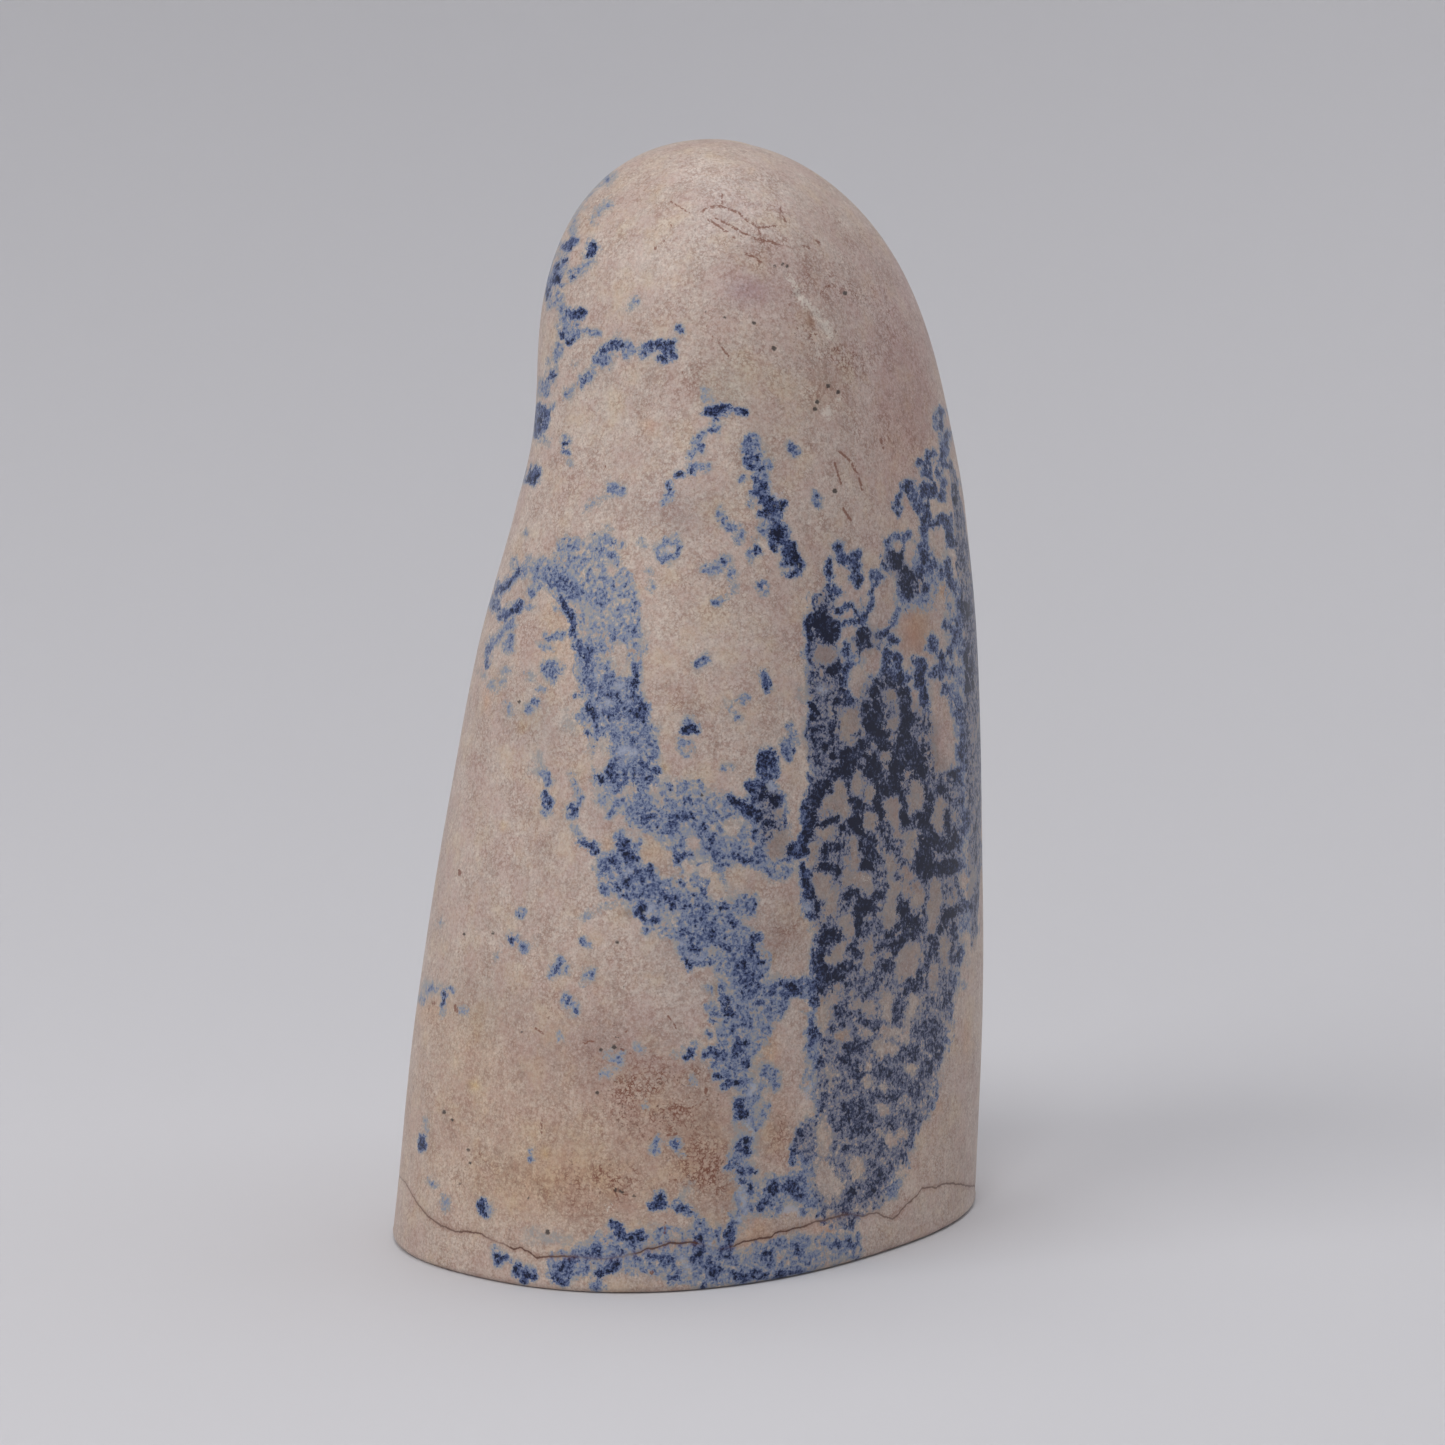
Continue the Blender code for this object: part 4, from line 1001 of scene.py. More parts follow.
def rim_depth(places, rims):
    """How far inside the nearest round rim each place lies."""
    depth = np.full(len(places), OUTSIDE)
    for x, y, radius, half_width in rims:
        gap = np.abs(np.hypot(places[:, 0] - x, places[:, 1] - y) - radius)
        depth = np.maximum(depth, half_width - gap)
    return depth


def skin_shape(surface):
    """The closed skin, finest where the photograph shows marks."""
    shape = bmesh.new()
    rings = [[(heading, shape.verts.new(point)) for heading, point in zip(*ring)]
             for ring in skin_rings(surface)]
    for low, high in zip(rings, rings[1:]):
        zip_rings(shape, low, high)
    shows = facing(shape) > ONCE_FROM
    above = vert_places(shape)[:, 2] > 0.0
    refine(shape, shows & above)
    settle(shape, surface)
    shows = facing(shape) > AGAIN_FROM
    places = vert_places(shape)
    pixels = photo_pixels(places)
    near = mark_depth(pixels, FINE) > -REFINE_MARGIN
    line = np.array(CRACK_LINE)
    near |= np.abs(np.interp(pixels[:, 0], line[:, 0], line[:, 1]) - pixels[:, 1]) < REFINE_MARGIN
    behind = mark_depth(far_map(surface, places), on_far_map(FINE_BEHIND))
    near_behind = behind > -REFINE_MARGIN_BEHIND
    refine(shape, ((shows & near) | (~shows & near_behind)) & (places[:, 2] > 0.0))
    settle(shape, surface)
    places = vert_places(shape)
    near = mark_depth(photo_pixels(places), FINEST) > -FINEST_MARGIN
    refine(shape, (facing(shape) > AGAIN_FROM) & near & (places[:, 2] > 0.0))
    settle(shape, surface)
    return shape


def far_map(surface, places):
    """Places on the far side as headings, in mm round a mean radius, and heights in mm."""
    heading, climb = surface.place(places)
    around = np.remainder(heading - CAMERA_HEADING + math.pi, math.tau) - math.pi
    return np.column_stack((around * FAR_RADIUS_MM, places[:, 2] / MM))


def far_across(degrees):
    """A heading in degrees as mm across the far side's map."""
    return np.radians(degrees - math.degrees(CAMERA_HEADING)) * FAR_RADIUS_MM


def on_far_map(marks):
    """Marks given by heading in degrees, as marks on the far side's map."""
    laid = []
    for mark in marks:
        points = np.array(mark, dtype=float).reshape(-1, 3)
        points[:, 0] = far_across(points[:, 0])
        laid.append(points.ravel())
    return laid


def soft_patch_colours(places, stains, share):
    """The colour that soft patches multiply the rock by: stains, and in front also a painted highlight."""
    colours = np.ones((len(places), 3))
    for x, y, reach_x, reach_y, colour in stains:
        distance = ((places[:, 0] - x) / reach_x) ** 2 + ((places[:, 1] - y) / reach_y) ** 2
        weight = np.exp(-distance) * share
        colours *= 1.0 + weight[:, None] * (np.array(colour) - 1.0)
    return colours


def swirl(places, grain_mm):
    """Noise in two directions, from -1 to 1, with patches about so many millimetres across."""
    rows = []
    for place in places:
        where = Vector(place) / (grain_mm * MM)
        rows.append([noise.noise(where + Vector(start)) for start in SWIRL_STARTS])
    return np.array(rows)


def stirring(places):
    """Small shifts in pixels, wide and fine, that take the roundness off the brush marks."""
    return STIR_WIDE * swirl(places, STIR_WIDE_MM) + STIR_FINE * swirl(places, STIR_FINE_MM)


class Reading:
    """Everything that the markings need to know at each point of the skin."""

    def __init__(self, surface, shape):
        self.places = vert_places(shape)
        self.pixels = photo_pixels(self.places)
        self.stirred = self.pixels + stirring(self.places)
        self.share = np.clip((facing(shape) - SEEN_FROM) / SEEN_FADE, 0.0, 1.0)
        self.share[self.places[:, 2] <= 0.0] = 0.0
        self.far = far_map(surface, self.places)
        self.stirred_far = self.far + MM_PER_PIXEL * STIR_BEHIND * stirring(self.places)
        self.heading = np.degrees(surface.place(self.places)[0])

    def depth(self, marks, behind=(), rims=()):
        """Depth inside the marks in mm, fading out past the outline, joined with the far side's."""
        seen = np.maximum(mark_depth(self.stirred, marks), rim_depth(self.stirred, rims))
        seen = np.clip(seen * MM_PER_PIXEL, -FAR_MM, FAR_MM) - 2.0 * FAR_MM * (1.0 - self.share)
        unseen = mark_depth(self.stirred_far, on_far_map(behind))
        return np.clip(np.maximum(seen, unseen), -FAR_MM, FAR_MM)

    def thin(self, marks):
        """Depth in mm inside hairlines and specks, which lie just where they were drawn."""
        seen = np.clip(mark_depth(self.pixels, marks) * MM_PER_PIXEL, -FAR_MM, FAR_MM)
        return np.maximum(seen - 2.0 * FAR_MM * (1.0 - self.share), -FAR_MM)

    def crack(self):
        """Height above the crack in mm, and how plainly it shows."""
        line = np.array(CRACK_LINE, dtype=float)
        shows = np.array(CRACK_SHOWS)
        behind = np.array(CRACK_BEHIND, dtype=float)
        x, y = self.pixels.T
        seen = (np.interp(x, line[:, 0], line[:, 1]) - y) * MM_PER_PIXEL
        heading = np.remainder(self.heading + CRACK_STARTS_BELOW, 360.0) - CRACK_STARTS_BELOW
        unseen = self.places[:, 2] / MM - np.interp(heading, behind[:, 0], behind[:, 1])
        height = unseen + (seen - unseen) * self.share
        strength = np.interp(heading, behind[:, 0], behind[:, 2])
        strength += (np.interp(x, shows[:, 0], shows[:, 1]) - strength) * self.share
        return np.clip(height, -FAR_MM, FAR_MM), strength

    def tint(self):
        """The colour that all the soft stains, with the painted highlight on the dome, together multiply
        the rock by.
        """
        seen = soft_patch_colours(self.pixels, STAINS_AND_HIGHLIGHT, self.share)
        behind = [(far_across(heading), *rest) for heading, *rest in STAINS_BEHIND]
        return seen * soft_patch_colours(self.far, behind, 1.0 - self.share)

    def coarse(self):
        """How thickly brown specks and crazing cover the rock."""
        coarse = np.full(len(self.places), COARSE_EVERYWHERE)
        for x, y, reach_x, reach_y, share in COARSE:
            across = (self.pixels[:, 0] - x) / reach_x
            up = (self.pixels[:, 1] - y) / reach_y
            coarse = np.maximum(coarse, share * self.share * np.exp(-(across ** 2 + up ** 2)))
        return coarse


def polish_wave(places):
    """The slight unevenness that hand polishing leaves, between -1 and 1."""
    return np.array([noise.noise(Vector(place) * POLISH_SCALE) for place in places])


def store(mesh, name, values):
    """Keep one number, or one colour, for each point of the mesh."""
    if values.ndim == 1:
        layer = mesh.attributes.new(name, "FLOAT", "POINT")
        layer.data.foreach_set("value", values.astype(np.float32))
    else:
        layer = mesh.attributes.new(name, "FLOAT_COLOR", "POINT")
        rgba = np.column_stack((values, np.ones(len(values))))
        layer.data.foreach_set("color", rgba.astype(np.float32).ravel())


def cut_relief(mesh, reading, height, strength, cream, lines):
    """Sink the crack, the hairlines and the rough streaks, and leave the polish slightly uneven."""
    normals = np.empty(3 * len(mesh.vertices))
    mesh.vertices.foreach_get("normal", normals)
    normals = normals.reshape(-1, 3)
    sink = CRACK_DEPTH * strength * np.exp(-(height / CRACK_REACH_MM) ** 2)
    grains = np.array([noise.noise(Vector(place) * PIT_SCALE) for place in reading.places])
    in_cream = np.clip((cream + PIT_FADE_FROM_MM) / RELIEF_FADE_MM, 0.0, 1.0)
    sink += PIT_DEPTH * in_cream * np.clip(grains * PIT_CONTRAST, 0.0, 1.0)
    sink += LINE_DEPTH * np.clip(lines / RELIEF_FADE_MM + 1.0, 0.0, 1.0)
    sink -= POLISH_WAVE * (polish_wave(reading.places) - POLISH_DROP)
    sink[reading.places[:, 2] < FOOT_EDGE_RADIUS] = 0.0
    moved = reading.places - normals * sink[:, None]
    mesh.vertices.foreach_set("co", moved.astype(np.float32).ravel())


def make_skin(stone):
    """The piece that stands for the stone, with everything its material needs stored on its points."""
    surface = Surface(stone)
    shape = skin_shape(surface)
    reading = Reading(surface, shape)
    mesh = bpy.data.meshes.new("stone_skin")
    shape.to_mesh(mesh)
    shape.free()
    height, strength = reading.crack()
    cream = reading.thin(CREAM)
    lines = reading.thin(LINES)
    cut_relief(mesh, reading, height, strength, cream, lines)
    store(mesh, "navy", reading.depth(NAVY, NAVY_BEHIND))
    store(mesh, "deep", reading.depth(NAVY_BAND))
    store(mesh, "behind", 1.0 - reading.share)
    store(mesh, "blue", reading.depth(BLUE, BLUE_BEHIND, BLUE_RIMS))
    store(mesh, "mesh_field", reading.depth(MESH_FIELD, MESH_BEHIND))
    store(mesh, "wash_field", reading.depth(WASH_FIELD, WASH_BEHIND))
    store(mesh, "pale", reading.depth(PALE, PALE_BEHIND))
    store(mesh, "veil", reading.depth(HAZE))
    store(mesh, "fleck", reading.depth(FLECKS))
    store(mesh, "window", reading.depth(WINDOWS))
    store(mesh, "speck", reading.thin(SPECKS))
    store(mesh, "line", lines)
    store(mesh, "cream", cream)
    store(mesh, "crack", height)
    store(mesh, "crack_shows", strength)
    store(mesh, "coarse", reading.coarse())
    store(mesh, "tint", reading.tint())
    mesh.shade_smooth()
    skin = bpy.data.objects.new("stone_skin", mesh)
    bpy.context.scene.collection.objects.link(skin)
    return skin


class Wiring:
    """Short ways to add shader nodes to one material."""

    def __init__(self, name):
        self.material = bpy.data.materials.new(name)
        self.material.use_nodes = True
        self.tree = self.material.node_tree
        self.shader = self.tree.nodes["Principled BSDF"]
        self.place = self.node("ShaderNodeTexCoord").outputs["Object"]
        split = self.node("ShaderNodeSeparateXYZ")
        self.feed(split.inputs[0], self.place)
        self.height = split.outputs["Z"]

    def node(self, kind, **settings):
        made = self.tree.nodes.new(kind)
        for name, value in settings.items():
            setattr(made, name, value)
        return made

    def feed(self, socket, value):
        """Link a socket to another one, or set its value."""
        if isinstance(value, bpy.types.NodeSocket):
            self.tree.links.new(value, socket)
        else:
            socket.default_value = value

    def math(self, operation, *values):
        """The outcome of one operation on values or sockets."""
        made = self.node("ShaderNodeMath", operation=operation)
        for socket, value in zip(made.inputs, values):
            self.feed(socket, value)
        return made.outputs[0]

    def add(self, *values):
        total = values[0]
        for value in values[1:]:
            total = self.math("ADD", total, value)
        return total

    def times(self, *values):
        total = values[0]
        for value in values[1:]:
            total = self.math("MULTIPLY", total, value)
        return total

    def ease(self, value, low, high, start=0.0, end=1.0):
        """Rise smoothly from start to end as a value goes from low to high."""
        made = self.node("ShaderNodeMapRange", interpolation_type="SMOOTHSTEP")
        for socket, given in zip(made.inputs, (value, low, high, start, end)):
            self.feed(socket, given)
        return made.outputs[0]

    def noise(self, layer):
        """Noise around a half, in patches as a layer says.

        The octaves that are too fine to show are left out, and the others keep their strength.
        """
        made = self.node("ShaderNodeTexNoise", normalize=False)
        self.feed(made.inputs["Vector"], self.shifted(layer.start) if layer.start else self.place)
        made.inputs["Scale"].default_value = 1.0 / (layer.grain_mm * MM)
        octaves = min(layer.detail, int(math.log2(layer.grain_mm / FINEST_GRAIN_MM)))
        made.inputs["Detail"].default_value = octaves
        made.inputs["Roughness"].default_value = layer.rough
        made.inputs["Distortion"].default_value = layer.warp
        strength = sum(layer.rough ** octave for octave in range(layer.detail + 1))
        return self.math("MULTIPLY_ADD", made.outputs["Fac"], 0.5 / strength, 0.5)

    def swing(self, layer, reach):
        """Noise around nothing, as far to both sides as the reach says."""
        return self.times(self.math("SUBTRACT", self.noise(layer), 0.5), reach)

    def mix(self, share, first, second, blend="MIX"):
        made = self.node("ShaderNodeMix", data_type="RGBA", blend_type=blend)
        self.feed(made.inputs[0], share)
        self.feed(made.inputs[6], first)
        self.feed(made.inputs[7], second)
        return made.outputs[2]

    def stored(self, name, output="Fac"):
        """What the mesh keeps under a name."""
        return self.node("ShaderNodeAttribute", attribute_name=name).outputs[output]

    def shifted(self, offset):
        """Positions moved over, so that noise on them starts elsewhere."""
        made = self.node("ShaderNodeVectorMath", operation="ADD")
        self.feed(made.inputs[0], self.place)
        made.inputs[1].default_value = offset
        return made.outputs[0]


def rock_colour(w):
    """Beige rock: broad and fine mottling in several hues, brown specks, stored stains and a painted
    highlight.
    """
    tone = w.add(*(w.times(w.noise(layer), share) for layer, share in ROCK_TONES))
    colour = w.mix(w.ease(tone, *TONE_RANGE), ROCK_DIM, ROCK_PALE)
    pink = w.ease(w.noise(PINK_PATCHES), *PINK_RANGE)
    yellow = w.ease(w.noise(YELLOW_PATCHES), *YELLOW_RANGE)
    colour = w.mix(w.times(pink, HUE_SHARE), colour, ROCK_PINK)
    colour = w.mix(w.times(yellow, HUE_SHARE), colour, ROCK_YELLOW)
    rosy = w.ease(w.noise(ROSY_GRAINS), *ROSY_RANGE)
    colour = w.mix(GRAIN_SHARE, colour, w.mix(rosy, PAPER, ROSY), "MULTIPLY")
    drift = w.ease(w.noise(SPECK_DRIFT), *SPECK_DRIFT_RANGE)
    cover = w.times(w.add(w.times(drift, 0.8), 0.2), w.add(w.stored("coarse"), 0.1))
    specks = w.ease(w.noise(SPECK_GRAINS), *SPECK_RANGE)
    dots = w.ease(w.noise(DOT_GRAINS), *DOT_RANGE)
    colour = w.mix(w.times(specks, cover, SPECK_SHARE), colour, ROCK_SPECK)
    colour = w.mix(w.times(dots, cover, SPECK_SHARE), colour, ROCK_SPECK)
    return w.mix(1.0, colour, w.stored("tint", "Color"), "MULTIPLY")


def warped(w, grain_mm, reach_mm, stretch=1.0):
    """Positions stirred by noise, and squeezed upright so that patterns on them stand taller."""
    stir = w.node("ShaderNodeTexNoise")
    stir.inputs["Scale"].default_value = 1.0 / (grain_mm * MM)
    stir.inputs["Detail"].default_value = 1.0
    w.feed(stir.inputs["Vector"], w.place)
    stirred = w.node("ShaderNodeVectorMath", operation="MULTIPLY_ADD")
    w.feed(stirred.inputs[0], stir.outputs["Color"])
    stirred.inputs[1].default_value = (reach_mm * MM,) * 3
    w.feed(stirred.inputs[2], w.place)
    squeezed = w.node("ShaderNodeVectorMath", operation="MULTIPLY")
    w.feed(squeezed.inputs[0], stirred.outputs[0])
    squeezed.inputs[1].default_value = (1.0, 1.0, stretch)
    return squeezed.outputs[0]


def net_of_cracks(w):
    """Thin lines between irregular cells, as a share from 0 to 1."""
    cells = w.node("ShaderNodeTexVoronoi", feature="DISTANCE_TO_EDGE")
    w.feed(cells.inputs["Vector"], warped(w, NET_STIR_GRAIN * NET_CELL_MM, NET_STIR_MM))
    cells.inputs["Scale"].default_value = 1.0 / (NET_CELL_MM * MM)
    return w.ease(cells.outputs["Distance"], 0.0, NET_LINE, 1.0, 0.0)


def crazing(w, net):
    """Short fine red-brown cracks, mostly where the rock is coarse, and thicker in drifts."""
    drift = w.ease(w.noise(CRAZE_DRIFT), *CRAZE_DRIFT_RANGE)
    broken = w.ease(w.noise(CRAZE_BREAKS), *CRAZE_BREAK_RANGE)
    in_coarse = w.times(w.stored("coarse"), w.add(w.times(drift, 0.9), 0.4))
    return w.times(net, broken, w.add(in_coarse, w.times(drift, 0.12)))


def edge_wobble(w):
    """How far noise moves the edges of the marks, in mm."""
    coarse = w.swing(WOBBLE_COARSE, COARSE_WOBBLE)
    fine = w.swing(WOBBLE_FINE, FINE_WOBBLE)
    behind = w.times(w.math("SUBTRACT", w.noise(WOBBLE_BEHIND), 0.5), w.stored("behind"))
    return w.add(coarse, fine, w.times(behind, BEHIND_WOBBLE))


def island_cells(w, cell_mm, warp_mm):
    """How far each point is from the middles of uneven cells, in cell widths."""
    cells = w.node("ShaderNodeTexVoronoi", feature="F1")
    w.feed(cells.inputs["Vector"], warped(w, cell_mm, warp_mm, ISLAND_SQUEEZE))
    cells.inputs["Scale"].default_value = 1.0 / (cell_mm * MM)
    sizes = w.swing(Layer(ISLAND_PATCH * cell_mm, 1, 0.5), ISLAND_UNEVEN)
    return w.add(cells.outputs["Distance"], sizes)


def lace(w, field, cells, wobble, shares):
    """Depth in mm inside the strands that fill a field and leave rounded islands of three sizes."""
    depth = field
    for (cell_mm, _), distance, share in zip(ISLANDS, cells, shares):
        depth = w.math("MINIMUM", depth, w.times(w.add(distance, -share), cell_mm))
    return w.add(depth, w.times(wobble, LACE_MOVES))


def moved(w, name, wobble, share):
    """Depth inside a kind of mark, with its edges moved by a share of the wobble."""
    return w.add(w.stored(name), w.times(wobble, share))


def strong_blues(w, within, wobble, dense):
    """The blueness of the middle blue and navy marks, of the mesh and of the washes."""
    paler_below = w.times(w.ease(w.height, *PALER_HEIGHTS, PALER_BY, 0.0), dense)
    navy_level = w.math("SUBTRACT", w.add(w.times(dense, NAVY_EXTRA), NAVY_LEVEL), paler_below)
    navy = moved(w, "navy", wobble, NAVY_MOVES)
    around = w.times(w.ease(navy, *AROUND_FADE), w.ease(within, *FIELD_FADE), AROUND_LEVEL)
    navy = w.times(w.ease(navy, *NAVY_FADE), navy_level)
    deep = w.times(w.ease(w.add(w.stored("deep"), wobble), *DEEP_FADE), DEEP_LEVEL)
    blue = w.times(w.ease(w.add(w.stored("blue"), wobble), *BLUE_FADE), BLUE_LEVEL)
    cells = [island_cells(w, cell_mm, warp_mm) for cell_mm, warp_mm in ISLANDS]
    ragged = w.swing(FIELD_EDGE, FIELD_WOBBLE)
    mesh = lace(w, w.add(w.stored("mesh_field"), ragged), cells, wobble, MESH_ISLANDS)
    mesh = w.times(w.ease(mesh, *MESH_FADE), w.math("SUBTRACT", MESH_LEVEL, paler_below))
    wash = lace(w, w.add(w.stored("wash_field"), ragged), cells, wobble, WASH_ISLANDS)
    wash = w.times(w.ease(wash, *WASH_FADE), WASH_LEVEL)
    strong = w.math("MAXIMUM", w.math("MAXIMUM", navy, blue), w.math("MAXIMUM", mesh, wash))
    return w.math("MAXIMUM", strong, w.math("MAXIMUM", around, deep))


def weak_blues(w, within, wobble):
    """The blueness of pale marks, of veils, and of the mist and halo round the stronger ones."""
    pale = w.times(w.ease(moved(w, "pale", wobble, PALE_MOVES), *PALE_FADE), PALE_LEVEL)
    veil = w.times(w.ease(moved(w, "veil", wobble, VEIL_MOVES), *VEIL_FADE), VEIL_LEVEL)
    mist = w.times(w.ease(w.add(within, w.times(wobble, VEIL_MOVES)), *MIST_FADE), MIST_LEVEL)
    marks = w.math("MAXIMUM", w.stored("navy"), w.stored("blue"))
    halo = w.times(w.ease(marks, *HALO_FADE), HALO_LEVEL)
    return w.math("MAXIMUM", pale, w.add(w.math("MAXIMUM", veil, mist), halo))


def blueness(w, dense):
    """How blue each point is: 0 is rock, 0.2 a veil, 0.5 middle blue and 1 the darkest navy."""
    wobble = edge_wobble(w)
    window = moved(w, "window", wobble, WINDOW_MOVES)
    open_rock = w.ease(window, *WINDOW_FADE, 1.0, WINDOW_LEFT)
    within = w.math("MAXIMUM", w.stored("mesh_field"), w.stored("wash_field"))
    strong = strong_blues(w, within, wobble, dense)
    weak = w.times(weak_blues(w, within, wobble), w.add(w.times(open_rock, 0.7), 0.3))
    return w.math("MAXIMUM", w.times(strong, open_rock), weak)


def mark_colours(w, rock, net):
    """Colour the rock by its blueness, broken into grains, with whitish flecks over the blue."""
    dense = w.times(w.ease(w.stored("mesh_field"), *DENSE_FADE), 0.8)
    base = blueness(w, dense)
    grain = w.swing(BLUE_GRAIN, GRAIN_MOTTLE)
    cloud = w.swing(BLUE_CLOUD, CLOUD_MOTTLE)
    drift = w.swing(BLUE_DRIFT, DRIFT_MOTTLE)
    mottle = w.times(w.add(grain, cloud, drift), w.ease(base, *MOTTLE_FADE, *MOTTLE_SHARES),
                     w.add(w.times(dense, 0.3), 1.0))
    seams = w.times(net, w.ease(base, *SEAM_FADE), SEAM_LEVEL)
    blue = w.add(base, mottle, seams)
    shade = w.times(dense, w.ease(w.height, *SHADE_HEIGHTS, *SHADE_SHARES))
    colour = w.mix(shade, rock, SHADED, "MULTIPLY")
    colour = w.mix(w.ease(blue, *TO_VEIL), colour, w.mix(dense, VEIL, GREY_VEIL))
    colour = w.mix(w.ease(blue, *TO_PALE), colour, w.mix(dense, BLUE_PALE, GREY_PALE))
    colour = w.mix(w.ease(blue, *TO_MIDDLE), colour, w.mix(dense, BLUE_MIDDLE, GREY_MIDDLE))
    colour = w.mix(w.ease(blue, *TO_DEEP), colour, w.mix(dense, BLUE_DEEP, GREY_DEEP))
    colour = w.mix(w.ease(blue, *TO_NAVY), colour, NAVY_DEEP)
    fleck = w.add(w.stored("fleck"), w.times(grain, FLECK_RAGGED), w.times(cloud, FLECK_CLOUDED),
                  FLECK_NARROWED)
    return w.mix(w.times(w.ease(fleck, *FLECK_FADE), FLECK_SHARE), colour, WHITISH), base


def cream_streak(w):
    """How fully the rough cream streak on the dome covers each point."""
    rough_edge = w.swing(CREAM_EDGE, CREAM_RAGGED)
    return w.ease(w.add(w.stored("cream"), rough_edge, CREAM_NARROWED), *CREAM_FADE)


def thin_marks(w, colour):
    """Add the hairlines, the dark specks and the crack near the foot."""
    fine = w.math("SUBTRACT", w.noise(LINE_EDGE), 0.5)
    line = w.ease(w.add(w.stored("line"), w.times(fine, LINE_RAGGED)), *LINE_FADE)
    broken = w.ease(w.noise(LINE_BREAKS), *LINE_BREAK_RANGE)
    colour = w.mix(w.times(line, broken, LINE_SHARE), colour, RUST)
    speck = w.ease(w.add(w.stored("speck"), w.times(fine, SPECK_RAGGED)), *SPECK_FADE)
    colour = w.mix(w.times(speck, SPECK_COLOUR_SHARE), colour, DARK)
    wander = w.add(w.stored("crack"), w.swing(CRACK_WANDER, CRACK_RAGGED))
    crack = w.ease(w.math("ABSOLUTE", wander), *CRACK_FADE, 1.0, 0.0)
    fringe = w.ease(w.math("ABSOLUTE", wander), *FRINGE_FADE, 1.0, 0.0)
    colour = w.mix(w.times(fringe, w.stored("crack_shows"), FRINGE_SHARE), colour, RUST)
    return w.mix(w.times(crack, w.stored("crack_shows"), CRACK_SHARE), colour, CRACK_COLOUR)


def polish(w, cream, base):
    """Set how glossy the stone is, and its finest unevenness."""
    rough = w.add(w.times(w.noise(SHEEN_PATCHES), ROUGHNESS_PATCHES), w.times(cream, ROUGHNESS_CREAM),
                  ROUGHNESS)
    rough = w.math("SUBTRACT", rough, w.times(w.ease(base, *GLOSSY_FADE), ROUGHNESS_BLUE))
    w.feed(w.shader.inputs["Roughness"], rough)
    w.shader.inputs["Specular IOR Level"].default_value = SPECULAR
    bump = w.node("ShaderNodeBump")
    bump.inputs["Strength"].default_value = BUMP_STRENGTH
    bump.inputs["Distance"].default_value = BUMP_DISTANCE
    fine_share, wide_share = BUMP_SHARES
    height = w.add(w.times(w.noise(BUMP_FINE), fine_share), w.times(w.noise(BUMP_WIDE), wide_share))
    w.feed(bump.inputs["Height"], height)
    w.feed(w.shader.inputs["Normal"], bump.outputs[0])


def polished_sodalite():
    """The one material of the stone."""
    w = Wiring("polished_sodalite")
    net = net_of_cracks(w)
    rock = w.mix(crazing(w, net), rock_colour(w), RUST)
    colour, base = mark_colours(w, rock, net)
    cream = cream_streak(w)
    colour = w.mix(w.times(cream, CREAM_SHARE), colour, CREAM_COLOUR)
    w.feed(w.shader.inputs["Base Color"], thin_marks(w, colour))
    polish(w, cream, base)
    return w.material


def sweep_profile():
    """Distance out from the stone, and height, from the flat floor to the top of the wall."""
    profile = [(0.5 * FLAT_REACH, 0.0), (FLAT_REACH, 0.0)]
    for step in range(1, SWEEP_STEPS + 1):
        angle = 0.5 * math.pi * step / SWEEP_STEPS
        out = FLAT_REACH + SWEEP_RADIUS * math.sin(angle)
        profile.append((out, SWEEP_RADIUS * (1.0 - math.cos(angle))))
    profile.append((FLAT_REACH + SWEEP_RADIUS, SWEEP_RADIUS + WALL_HEIGHT))
    return profile


def matt_paper():
    """The floor's material: an even matt colour, which renders faster than a full shader."""
    material = bpy.data.materials.new("pale_paper")
    material.use_nodes = True
    tree = material.node_tree
    tree.nodes.remove(tree.nodes["Principled BSDF"])
    matt = tree.nodes.new("ShaderNodeBsdfDiffuse")
    matt.inputs["Color"].default_value = STAGE_COLOUR
    tree.links.new(matt.outputs[0], tree.nodes["Material Output"].inputs["Surface"])
    return material


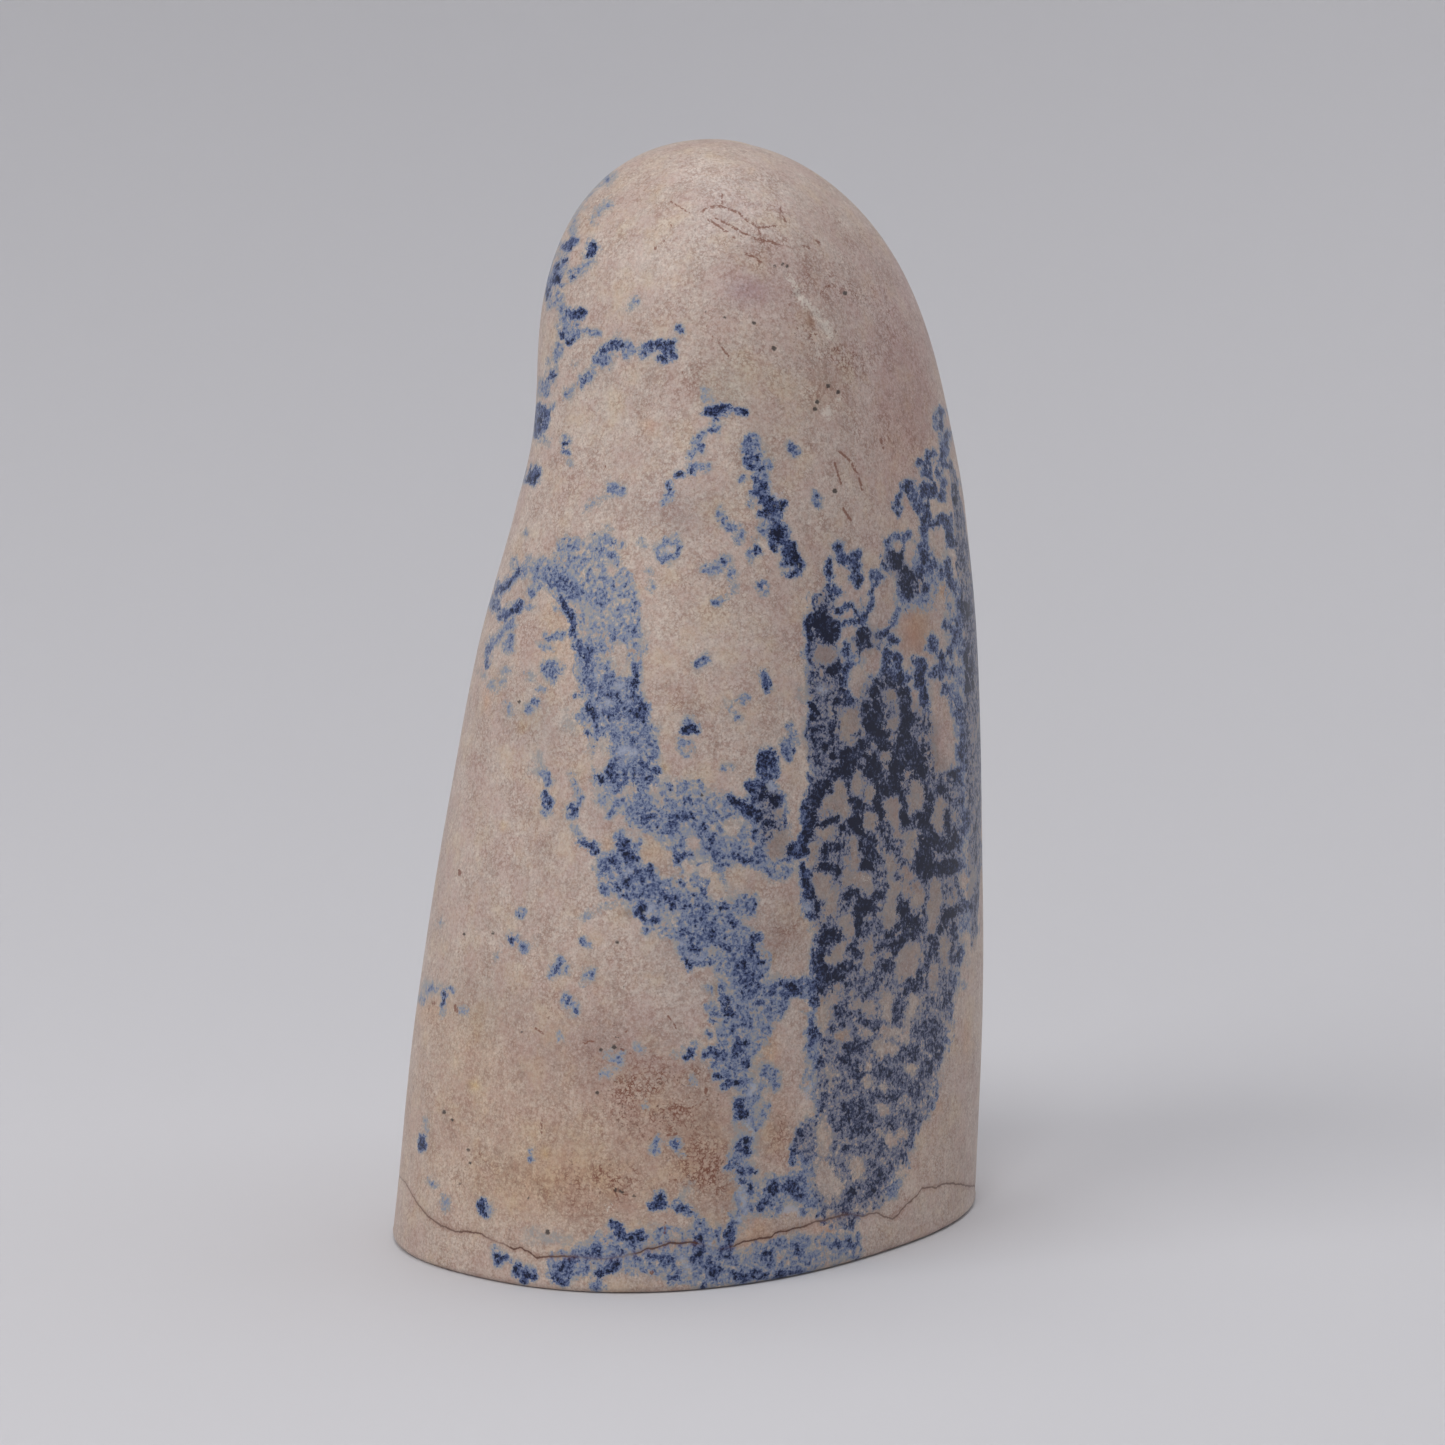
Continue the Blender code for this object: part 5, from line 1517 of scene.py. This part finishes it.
def make_stage():
    """The floor and the wall that it turns up into, as one piece."""
    shape = bmesh.new()
    turns = [math.tau * spoke / STAGE_SPOKES for spoke in range(STAGE_SPOKES)]
    rows = []
    for out, height in sweep_profile():
        ring = [(out * math.cos(turn), out * math.sin(turn), height) for turn in turns]
        rows.append([shape.verts.new(place) for place in ring])
    shape.faces.new(rows[0])
    for near, far in zip(rows, rows[1:]):
        for spoke in range(STAGE_SPOKES):
            after = (spoke + 1) % STAGE_SPOKES
            shape.faces.new((near[spoke], far[spoke], far[after], near[after]))
    mesh = bpy.data.meshes.new("floor_sweep")
    shape.to_mesh(mesh)
    shape.free()
    mesh.shade_smooth()
    mesh.materials.append(matt_paper())
    floor = bpy.data.objects.new("floor_sweep", mesh)
    bpy.context.scene.collection.objects.link(floor)
    return floor


def make_light(name, place, width, power, colour):
    right, up, forward = camera_axes()
    level = unit(np.array((forward[0], forward[1], 0.0)))
    side, height, near = place
    spot = right * side - level * near + np.array((0.0, 0.0, height))
    data = bpy.data.lights.new(name, "AREA")
    data.size = width
    data.energy = power
    data.color = colour
    light = bpy.data.objects.new(name, data)
    light.location = spot
    light.rotation_euler = (Vector(AIM) - Vector(spot)).to_track_quat("-Z", "Y").to_euler()
    light.visible_camera = False
    bpy.context.scene.collection.objects.link(light)


def make_world():
    world = bpy.data.worlds.new("soft_room")
    world.use_nodes = True
    background = world.node_tree.nodes["Background"]
    background.inputs["Color"].default_value = WORLD_COLOUR
    background.inputs["Strength"].default_value = WORLD_STRENGTH
    bpy.context.scene.world = world


def make_camera():
    data = bpy.data.cameras.new("camera")
    data.sensor_width = SENSOR_WIDTH
    data.lens = FOCAL_PIXELS * SENSOR_WIDTH / PHOTO_SIDE
    data.clip_start = 0.01
    camera = bpy.data.objects.new("camera", data)
    camera.location = CAMERA_PLACE
    camera.rotation_euler = (0.5 * math.pi - CAMERA_TILT, 0.0, CAMERA_HEADING - 0.5 * math.pi)
    bpy.context.scene.collection.objects.link(camera)
    bpy.context.scene.camera = camera


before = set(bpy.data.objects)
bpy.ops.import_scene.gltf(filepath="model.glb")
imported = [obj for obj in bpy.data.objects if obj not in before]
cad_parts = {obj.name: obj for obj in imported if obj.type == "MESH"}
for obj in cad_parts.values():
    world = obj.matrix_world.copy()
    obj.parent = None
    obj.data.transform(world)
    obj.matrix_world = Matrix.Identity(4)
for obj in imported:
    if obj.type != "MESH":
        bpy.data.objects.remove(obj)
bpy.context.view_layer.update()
skin = make_skin(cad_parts["stone"])
skin.data.materials.append(polished_sodalite())
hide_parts("stone")
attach(skin, "root")
make_stage()
for light in LIGHTS:
    make_light(*light)
make_world()
make_camera()
bpy.context.scene.view_settings.view_transform = "Standard"
bpy.context.view_layer.update()
